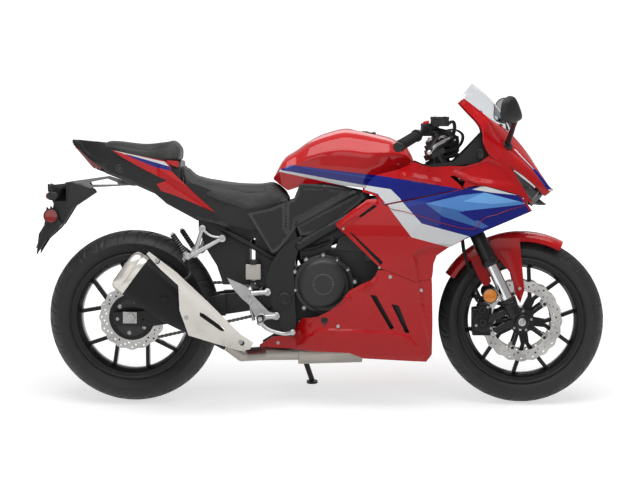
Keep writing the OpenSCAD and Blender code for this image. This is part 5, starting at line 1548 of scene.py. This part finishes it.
# ---------------------------------------------------------------- lamps
# Twin slim lamps sit behind smoked polycarbonate lenses, each with a small projector and a white light bar
# along its upper edge. A black chin closes the gap between them.
smoked = finish("lamp_clear", (0.05, 0.052, 0.056), (0.06, 0.12), coat=1.0, grain=(300, 0.05), spread=0.3)
dress(smoked, "headlight", ease=3.0)
bar_white = finish("lamp_bar", (0.8, 0.82, 0.84), (0.1, 0.2), coat=1.0, grain=(500, 0.2), spread=0.08,
    slot="lamp_clear")
glow_node = bar_white.node_tree.nodes["Principled BSDF"]
glow_node.inputs["Emission Color"].default_value = (1, 1, 1, 1)
glow_node.inputs["Emission Strength"].default_value = 0.35
lens_wide = eased([(1370, 120), (1400, 108), (1430, 88), (1455, 64), (1480, 40), (1500, 22)])
lens_outline = [(1374, 852), (1384, 851), (1412, 838), (1470, 786), (1492, 760), (1478, 744), (1446, 716),
    (1420, 756), (1393, 812)]


def lens_lift(x, z):
    """The lens narrows toward the nose and leans inward above and below its middle."""
    return -(lens_wide(x) - 0.12 * abs(z - 785)) + 3


bm = flat_mesh(bmesh.new(), lens_outline, pitch=8, lift=lens_lift)
thick(bm, Vector((-4, 3, 0)))
mirrored(bm)
add_piece("lamp_lenses", bm, "root", smoked, sharp=30, ease=0.8)
bm = bmesh.new()
for side in (-1, 1):
    rings = []
    for t in np.linspace(0, 1, 20).tolist():
        x, z = 1379 + (1458 - 1379) * t, 848 + (783 - 848) * t + 3 * math.sin(math.pi * t)
        y, rise = lens_wide(x) - 0.12 * abs(z - 785) - 2, 9.5 * (1 - 0.65 * t)
        rings.append([(x + 1, side * (y - 2), z + rise), (x + 1, side * (y + 1.6), z + rise * 0.7),
            (x - 1, side * (y + 1.6), z - rise * 0.7), (x - 1, side * (y - 2), z - rise)])
    skinned(bm, rings)
add_piece("light_bars", bm, "root", bar_white, sharp=50)
bm = bmesh.new()
for side in (-1, 1):
    y = lens_wide(1425) - 3
    turned(bm, (1424, side * y, 782), (0.6, side * 0.8, 0), [(0, 11), (2, 13), (3, 13), (3, 11), (1.4, 9),
        (2.4, 4), (2.8, 0)], 24)
add_piece("lamp_projectors", bm, "root", cover_black)
chin = bmesh.new()
rings = []
for x, w, top, low in ((1436, 62, 730, 718), (1452, 54, 748, 720), (1475, 38, 742, 717),
        (1492, 22, 728, 717), (1500, 10, 723, 719)):
    rings.append([(x, w * math.cos(a), (top + low) / 2 + (top - low) / 2 * math.sin(a))
        for a in (2 * math.pi * k / 24 for k in range(24))])
skinned(chin, rings)
add_piece("nose_chin", chin, "root", plastic, ease=0.5)

# ---------------------------------------------------------------- cockpit
# Black moulded inner panels fill the gap between the cowls and the screen. The instrument panel is a dark
# glass in a black bezel, clipped to the stay behind the screen.
inner = [(1052, 864), (1088, 857), (1149, 860), (1271, 879), (1293, 902), (1270, 934), (1280, 1000),
    (1240, 957), (1196, 911), (1160, 878), (1100, 871)]
inner_wide = eased([(1040, 168), (1150, 172), (1230, 166), (1300, 148)])
bm = flat_mesh(bmesh.new(), inner, pitch=12, lift=lambda x, z: -(inner_wide(x) - 0.1 * (z - 870)))
thick(bm, Vector((0, 3, 0)))
mirrored(bm)
for side in (-1, 1):
    cup = bmesh.new()
    turned(cup, (1256, side * 158, 905), (-0.25, side, 0.2), [(-6, 20), (4, 20), (8, 17), (9, 12), (6, 10),
        (6, 0)], 32)
    for v in cup.verts:
        v.co.x = 1256 + (v.co.x - 1256) * 0.72
    join(bm, cup)
add_piece("cockpit_sides", bm, "root", plastic, ease=0.6)
dress(plastic, "dash_panel", ease=3.0)
bm = bmesh.new()
face_a, face_b = Vector((1263.5, 0, 915)), Vector((1271, 0, 980))
slope_up = (face_b - face_a).normalized()
back_dir = Vector((-slope_up.z, 0, slope_up.x))
face_mid = (face_a + face_b) / 2
rings = []
for proud, k in ((0.5, 1.0), (4, 1.0), (5, 0.97), (5, 0.9), (3, 0.89)):
    ring = []
    for i in range(40):
        a = 2 * math.pi * i / 40
        u, v = math.cos(a), math.sin(a)
        u, v = squared(u, 0.45), squared(v, 0.45)
        ring.append(face_mid + slope_up * (v * 30 * k) + Vector((0, u * 68 * k, 0)) + back_dir * proud)
    rings.append(ring)
skinned(bm, rings)
add_piece("dash_bezel", bm, "root", cover_black, sharp=45)
screen_glass = finish("dash_glass", (0.02, 0.024, 0.03), (0.04, 0.09), coat=1.0, grain=(300, 0.02),
    slot="lamp_clear")
bm = bmesh.new()
skinned(bm, [[p.lerp(face_mid, 0.14) + back_dir * q for p in (Vector(v) for v in rings[3])]
    for q in (-2.6, -0.6, 0.4)])
add_piece("dash_screen", bm, "root", screen_glass)

# ---------------------------------------------------------------- fork
# An upside-down fork: black outer tubes clamped in cast yokes, hard-chromed inner tubes that slide in them,
# and black cast feet that carry the axle and the calipers.
fork_black = finish("fork_black", (0.011, 0.011, 0.0115), (0.28, 0.4), coat=0.2, grain=(1500, 0.08),
    worn=(0.1, 0.1, 0.1), slot="frame_black")
chrome = finish("fork_chrome", (0.7, 0.7, 0.71), (0.06, 0.14), metal=1.0, grain=(2600, 0.01), spread=0.06,
    slot="plain_alloy")
front_axle, trail_foot = Vector((front_axle_x, 0, front_axle_h)), Vector((1512, 0, 0))
offset_ahead = 26 - (front_axle - steer_spot).dot(steer_ahead)
axle_low = (front_axle - trail_foot).dot(steer_up)


def leg_spot(side, height):
    """A place on a fork leg's centre line, so far above the axle along the leg."""
    return Vector((front_axle_x, side * 104, front_axle_h)) + steer_ahead * offset_ahead + steer_up * height


def leg_outline(corners):
    """A side-view outline whose corners are measured from the front axle, ahead of it and up the leg."""
    places = [steer_ahead * ahead + steer_up * above for ahead, above in corners]
    return [(front_axle_x + p.x, front_axle_h + p.z) for p in places]


bm = bmesh.new()
for side in (-1, 1):
    top = 1047 - axle_low
    turned(bm, leg_spot(side, 0), steer_up, [(238, 22), (238, 29.5), (242, 30.5), (252, 30.5), (256, 29),
        (262, 27), (top - 2, 27), (top, 25), (top, 12)], 44)
    turned(bm, leg_spot(side, 0), steer_up, [(24, 19), (30, 24), (60, 25), (68, 25), (70, 27), (80, 27),
        (82, 25), (90, 24), (91, 20.6)], 44)
    turned(bm, (front_axle_x, side * 86, front_axle_h), (0, side, 0), [(0, 11), (0, 24), (2, 26), (33, 26),
        (37, 22), (38, 16), (38, 11)], 44)
    web = leg_outline([(-20, -8), (16, -14), (26, 6), (offset_ahead + 22, 40), (offset_ahead - 22, 60),
        (-26, 30)])
    plate(bm, web, side * 92, side * 118)
    for rise in (8, 52):
        lug = leg_outline([(offset_ahead - 10, rise - 8), (offset_ahead - 10, rise + 16), (-100, rise + 12),
            (-108, rise + 2), (-100, rise - 8)])
        plate(bm, lug, side * 92, side * 103)
add_piece("fork_tubes", bm, "fork", fork_black, "fork_legs", sharp=34, ease=1.2)
bm = bmesh.new()
for side in (-1, 1):
    turned(bm, leg_spot(side, 0), steer_up, [(70, 20.5), (250, 20.5)], 44)
add_piece("fork_inner_tubes", bm, "fork", chrome)
bm = bmesh.new()
for side in (-1, 1):
    turned(bm, leg_spot(side, 0), steer_up, [(88, 20.8), (88, 25), (94, 26), (97, 25), (98, 20.8)], 40)
    turned(bm, leg_spot(side, 0), steer_up, [(230, 20.8), (231, 27), (238, 29), (239, 24)], 40)
add_piece("fork_seals", bm, "fork", cast_black, sharp=30)
bm = bmesh.new()
for side in (-1, 1):
    turned(bm, leg_spot(side, 1046 - axle_low), steer_up, [(0, 23), (3, 23), (5, 21), (5, 14), (10, 13),
        (11, 12), (11, 5), (7, 4.4), (7, 0)], 32)
    turned(bm, Vector((front_axle_x, side * 128.5, front_axle_h)), (0, side, 0),
        [(0, 5.6), (0, 13.8), (2.6, 13.8), (3.4, 12.8), (3.4, 7.4), (1.6, 6.2), (1.6, 5.6)], 32)
    bolt(bm, Vector((front_axle_x - 6, side * 112, front_axle_h - 26)), (0, 0, -1), 5, 4)
add_piece("fork_caps", bm, "fork", zinc)

# ---------------------------------------------------------------- front mudguard
# A red moulded blade over the tyre, bolted to stays on the fork legs. Round amber reflectors stand beside it
# on black arms.
fender_paint = livery("fender_paint", red, [], slot="body_red")
dress(fender_paint, "front_fender", ease=1.2)
bm = bmesh.new()
for side in (-1, 1):
    plate(bm, [(1222, 530), (1254, 543), (1280, 500), (1301, 445), (1290, 430), (1274, 427), (1248, 470)],
        side * 74, side * 78)
    rings = []
    for x, z, half in ((1352, 556, 26), (1370, 520, 20), (1388, 470, 15), (1403, 419, 11), (1405, 385, 5)):
        rings.append([(x - half, side * 79, z), (x + half * 0.2, side * 84, z), (x + half, side * 79, z),
            (x, side * 77, z)])
    skinned(bm, rings)
add_piece("fender_stays", bm, "fork", fender_paint, sharp=24, ease=0.8)
bm = bmesh.new()
for side in (-1, 1):
    bolt(bm, (1403, side * 83, 419), (0, side, 0), 4.4, 4)
add_piece("fender_bolts", bm, "fork", zinc)
reflector_x, reflector_y, reflector_z = 1295, 131.5, 396
bm = bmesh.new()
for side in (-1, 1):
    turned(bm, (reflector_x, side * reflector_y, reflector_z), (0, side, 0), [(-10, 20), (-4, 27), (3, 27),
        (4.4, 25.6), (4.4, 24.4), (3, 24)], 44)
    tube(bm, [(1313, side * 110, 396), (1298, side * 124, 396)], 8, 12, 0)
add_piece("side_reflector_arms", bm, "fork", plastic)
bm = bmesh.new()
for side in (-1, 1):
    turned(bm, (reflector_x, side * reflector_y, reflector_z), (0, side, 0),
        [(0, 24.2), (3.6, 24.2), (4.4, 21), (4.8, 0)], 44)
add_piece("side_reflectors", bm, "fork", amber)

# ---------------------------------------------------------------- handlebars and controls
# Clip-on bars with ribbed rubber grips and steel end weights, switch boxes, forged levers, and the front
# brake's fluid cup on its clamp.
dress(frame_black, "handlebars", "hand_controls", ease=1.2)
rubber = finish("grip_rubber", (0.016, 0.016, 0.0165), (0.6, 0.8), grain=(1800, 0.3), spread=0.3,
    slot="hose_rubber")


def bar_line(side):
    """A handlebar's outer end, inner end and direction."""
    end, root_end = Vector((969, side * 345, 934)), Vector((1092, side * 131, 1008))
    return end, root_end, (root_end - end).normalized()


bm = bmesh.new()
for side in (-1, 1):
    end, root_end, way = bar_line(side)
    length = (root_end - end).length * 0.5
    profile = [(2, 12), (2, 19.6), (5, 19.8)]
    for k in range(24):
        s = 8 + (length - 14) * k / 24
        profile += [(s, 17.6), (s + 2.4, 18.6), (s + 3.4, 17.6)]
    profile += [(length - 6, 18), (length - 5, 22), (length, 22), (length + 1, 12)]
    turned(bm, end, way, profile, 28)
add_piece("grips", bm, "fork", rubber, sharp=30)
bm = bmesh.new()
for side in (-1, 1):
    end, _, way = bar_line(side)
    turned(bm, end - way * 13.8, way, [(0, 0), (0, 9), (1, 14), (3, 17), (15, 17.8), (15, 12)], 28)
add_piece("bar_ends", bm, "fork", finish("bar_end_steel", (0.1, 0.1, 0.105), (0.25, 0.4), metal=0.8,
    grain=(1500, 0.04), slot="frame_black"))
bm = bmesh.new()
for side in (-1, 1):
    path = [Vector(p) for p in ((1120, side * 168, 980), (1142, side * 190, 964), (1128, side * 240, 952),
        (1100, side * 292, 938), (1074, side * 336, 914))]
    tube(bm, path, [9, 9, 7.6, 6.6, 7], 12)
    turned(bm, path[-1], path[-1] - path[-2], [(-6, 5), (-3, 8.4), (3, 9), (7, 6.4), (8.4, 0)], 20)
    turned(bm, (1120, side * 168, 992), (0, 0, -1), [(0, 6), (2, 9), (20, 9), (22, 6)], 20)
add_piece("levers", bm, "fork", finish("lever_alloy", (0.5, 0.5, 0.51), (0.22, 0.36), metal=1.0,
    grain=(1400, 0.05), slot="plain_alloy"))
bm = bmesh.new()
rings = []
for z, k in ((1029.6, 1.0), (1033, 1.03), (1037, 1.03), (1038.5, 0.98), (1038.5, 0.4)):
    ring = []
    for i in range(36):
        a = 2 * math.pi * i / 36
        ring.append((1112 + 33 * k * math.cos(a), -181 - 10 * math.cos(a) * 0.3 + 21 * k * math.sin(a), z))
    rings.append(ring)
skinned(bm, rings)
add_piece("brake_cup_lid", bm, "fork", plastic, sharp=40)
bm = bmesh.new()
for dx in (-18, 18):
    turned(bm, (1112 + dx, -181 - dx * 0.1, 1038), (0, 0, 1), [(0, 4), (1.4, 4), (1.8, 3), (1.8, 1.4),
        (0.9, 0)], 12)
add_piece("brake_cup_screws", bm, "fork", zinc)
bm = bmesh.new()
for side in (-1, 1):
    spot = Vector((1058, side * 188, 1004))
    turned(bm, spot, (-0.5, 0, 0.86), [(0, 9), (8, 9), (9, 7.6), (9, 0)], 20)
    turned(bm, Vector((1052, side * 196, 982)), (-1, 0, 0.1), [(0, 7), (7, 7), (8, 5.6), (8, 0)], 20)
add_piece("switch_knobs", bm, "fork", plastic)
bm = bmesh.new()
for side in (-1, 1):
    tube(bm, [(1088, side * 158, 990), (1120, side * 172, 984), (1150, side * 200, 978)], [13, 12, 10], 16,
        4)
    plate(bm, [(1086, 905), (1104, 888), (1160, 890), (1184, 916), (1160, 962), (1128, 984), (1096, 984),
        (1084, 958)], side * 92, side * 112)
    plate(bm, [(1084, 884), (1110, 884), (1112, 960), (1090, 966), (1082, 930)], side * 62, side * 84)
    for z, r in ((900, 7), (922, 8), (944, 7), (962, 6)):
        tube(bm, [(1088, side * 96, z), (1124, side * 124, z - 8), (1176, side * 100, z + 2),
            (1150, side * 60, z)], r, 10)
    turned(bm, (1104, side * 112, 930), (0, side, 0), [(0, 17), (8, 17), (10, 14), (10, 0)], 24)
add_piece("bar_wiring", bm, "fork", rubber, sharp=34, ease=1.0)
bm = bmesh.new()
for side in (-1, 1):
    for x, y, z in ((1098, 168, 974), (1110, 170, 962), (1100, 112, 966), (1150, 112, 940),
            (1128, 112, 970)):
        bolt(bm, (x, side * y, z), (0.2, side, 0.1), 3.6, 4)
    tube(bm, [(1098, side * 128, 958), (1124, side * 130, 966), (1150, side * 122, 958)], 4, 10)
add_piece("bar_fittings", bm, "fork", zinc)
bm = bmesh.new()
turned(bm, (1064, -178, 1014), (-0.3, -0.1, 1), [(0, 12), (6, 12), (8, 10.6), (8, 8), (9.4, 7.2), (9.4, 0)],
    24)
add_piece("stop_switch", bm, "fork", finish("switch_red", (0.55, 0.015, 0.012), (0.35, 0.5), coat=0.2,
    grain=(1200, 0.1), slot="body_red"))
bm = bmesh.new()
for side in (-1, 1):
    for x, y, z in ((1104, side * 160, 1000), (1064, side * 158, 976)):
        bolt(bm, (x, y, z), (0.5, side * -0.2, 0.8), 4.5, 4)
turned(bm, steer_spot + steer_up * (1000 - (steer_spot - trail_foot).dot(steer_up)), steer_up,
    [(0, 21), (20, 21), (22, 19), (22, 12), (26, 11), (26, 0)], 6)
add_piece("yoke_bolts", bm, "fork", zinc)

# ---------------------------------------------------------------- hoses and cables
# Rubber brake hoses run from the calipers to the brake cup, and cables loop from the switch boxes ahead of
# the yokes.
dress(finish("hose_black", (0.012, 0.012, 0.0125), (0.45, 0.6), grain=(2400, 0.15), slot="hose_rubber"),
    "brake_hoses")
bm = bmesh.new()
for side in (-1, 1):
    tube(bm, [(1144, side * 184, 1012), (1160, side * 178, 1022), (1168, side * 168, 1002),
        (1160, side * 150, 960), (1150, side * 110, 914), (1140, side * 60, 888)], 4, 10)
    tube(bm, [(1112, side * 160, 982), (1164, side * 150, 992), (1196, side * 134, 974),
        (1190, side * 112, 940), (1150, side * 70, 900)], 3.2, 10)
    tube(bm, [(1100, side * 160, 975), (1150, side * 146, 978), (1178, side * 126, 956),
        (1166, side * 96, 924), (1130, side * 60, 894)], 4.4, 10)
add_piece("control_cables", bm, "fork", rubber)

# ---------------------------------------------------------------- footrests and fluid cups
# Forged alloy hangers bolt to the frame and carry the pegs, which have ribbed rubber sleeves. Brushed plates
# guard the heels, and the rear brake's fluid cup stands above them.
alloy = finish("plain_alloy", (0.5, 0.5, 0.5), (0.28, 0.42), metal=0.9, grain=(1500, 0.08), spread=0.14)
dress(finish("reservoir_plastic", (0.66, 0.63, 0.57), (0.35, 0.5), grain=(800, 0.05), spread=0.06),
    "rear_reservoir", ease=3.0)
bm = bmesh.new()
for side in (-1, 1):
    y = side * 138
    for a, b, r in (((260, 637), (232, 549), (7.5, 9)), ((331, 601), (232, 546), (7.5, 10))):
        tube(bm, [(a[0], y, a[1]), ((a[0] + b[0]) / 2, y, (a[1] + b[1]) / 2), (b[0], y, b[1])], list(r), 14)
    tube(bm, [(264, y, 630), (290, y, 610), (326, y, 604)], 5, 12)
    for x, z, r in ((260, 637, 12), (331, 601, 13), (232, 547, 16)):
        turned(bm, (x, side * 132.5, z), (0, side, 0), [(0, r - 1), (1, r), (11, r), (12, r - 2)], 28)
    tube(bm, [(232, y, 547), (208, side * 143, 532), (190, side * 150, 521)], [11, 9, 8], 14)
for side in (-1, 1):
    tube(bm, [(206, side * 168, 540), (180, side * 172, 582), (152, side * 175, 622)], [10, 9, 7], 14, 4)
    turned(bm, (206, side * 150, 538), (0, side, 0), [(0, 9), (1, 13), (24, 13), (26, 10)], 24)
add_piece("passenger_hangers", bm, "root", alloy, "passenger_steps", sharp=34)
hang = muffler_front.lerp(muffler_back, 0.6) + silencer_up * 84.2
bm = bmesh.new()
tube(bm, [(200, -148, 526), (hang.x + 24, -164, hang.z + 24), (hang.x, hang.y, hang.z)], 7, 14)
turned(bm, hang - Vector((0, 12, 0)), (0, 1, 0), [(0, 6), (1, 12), (23, 12), (24, 6)], 24)
add_piece("silencer_link", bm, "root", frame_black)

guard = [(351, 461), (423, 429), (437, 405), (501, 339), (514, 336), (529, 333), (539, 321), (529, 309),
    (505, 315), (473, 303), (457, 311), (441, 343), (429, 365), (405, 385), (369, 425)]
inside = [(362, 452), (418, 425), (431, 401), (492, 336), (470, 312), (462, 318), (448, 348), (434, 372),
    (410, 393), (378, 428)]


def guard_lift(x, z):
    """The plate is pressed in by 1.8 mm inside its rim."""
    return -166.6 + 1.8 * min(1, max(0, edge_reach(x, z, inside) / 2))


bm = flat_mesh(bmesh.new(), guard, lines=[inside + inside[:1]], pitch=6, lift=guard_lift)
thick(bm, Vector((0, 4, 0)))
mirrored(bm)
add_piece("heel_guards", bm, "root", finish("guard_alloy", (0.4, 0.4, 0.4), (0.26, 0.38), metal=0.85,
    grain=(700, 0.5), slot="plain_alloy"), sharp=20, ease=0.6)
bm = bmesh.new()
for side in (-1, 1):
    for boss, end in (((495, 409), (437, 404)), ((527, 323), (470, 318))):
        tube(bm, [(boss[0], side * 160, boss[1]), (end[0], side * 161, end[1])], [9, 10], 14, 0)
        turned(bm, (boss[0], side * 141, boss[1]), (0, side, 0), [(0, 10), (1, 13), (22, 13), (24, 11)], 28)
    turned(bm, (474, side * 158, 318), (0, side, 0), [(0, 15), (20, 15), (22, 13), (26, 11), (84, 10),
        (88, 8)], 28)
    turned(bm, (470, side * 160, 300), (0, side, 0), [(0, 12), (16, 12), (18, 9)], 28)
tube(bm, [(470, -168, 300), (500, -176, 276), (552, -184, 262), (584, -192, 266)], [7, 6.5, 6.5, 8], 14)
turned(bm, (588, -182, 268), (0, -1, 0), [(0, 8), (2, 10), (24, 10), (26, 8)], 20)
tube(bm, [(470, 168, 300), (520, 178, 296), (578, 188, 300), (604, 190, 304)], [6.5, 6, 6, 7], 14)
turned(bm, (606, 178, 304), (0, 1, 0), [(0, 8), (2, 10), (26, 10), (28, 8)], 20)
tube(bm, [(446, -150, 306), (434, -146, 350), (430, -140, 372)], [6, 5, 5], 12)
turned(bm, (430, -146, 378), (0.05, 0, 1), [(0, 9), (2, 12), (40, 12), (44, 8), (52, 6)], 22)
add_piece("rider_hangers", bm, "root", alloy, "rider_steps", sharp=34)
bm = bmesh.new()
for side in (-1, 1):
    for k in range(9):
        turned(bm, (474, side * (186 + k * 6.6), 318), (0, side, 0), [(0, 11), (0.7, 12.4), (5.2, 12.4),
            (5.9, 11)], 20)
        spot = Vector((198, side * 169, 554)).lerp(Vector((160, side * 174.5, 610)), k / 8)
        turned(bm, spot, (-38, side * 5.5, 56), [(0, 9), (0.7, 10.2), (6.9, 10.2), (7.6, 9)], 20)
add_piece("peg_rubbers", bm, "root", rubber)
bm = bmesh.new()
for side in (-1, 1):
    for x, y, z in ((495, 164, 409), (527, 164, 323), (260, 144, 637), (331, 144, 601)):
        bolt(bm, (x, side * y, z), (0, side, 0), 4.6, 4)
add_piece("hanger_bolts", bm, "root", zinc)
bm = bmesh.new()
turned(bm, (441, -92, 506), (0, 0, 1), [(-1, 0), (-1, 22), (2, 24), (14, 24), (16, 22), (16, 8), (17, 0)],
    32)
add_piece("rear_cup_cap", bm, "root", plastic)

# ---------------------------------------------------------------- size
# The finished machine's box is measured, leaving the floor out. The finished machine has to stay
# inside the construction model's box.
low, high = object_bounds()
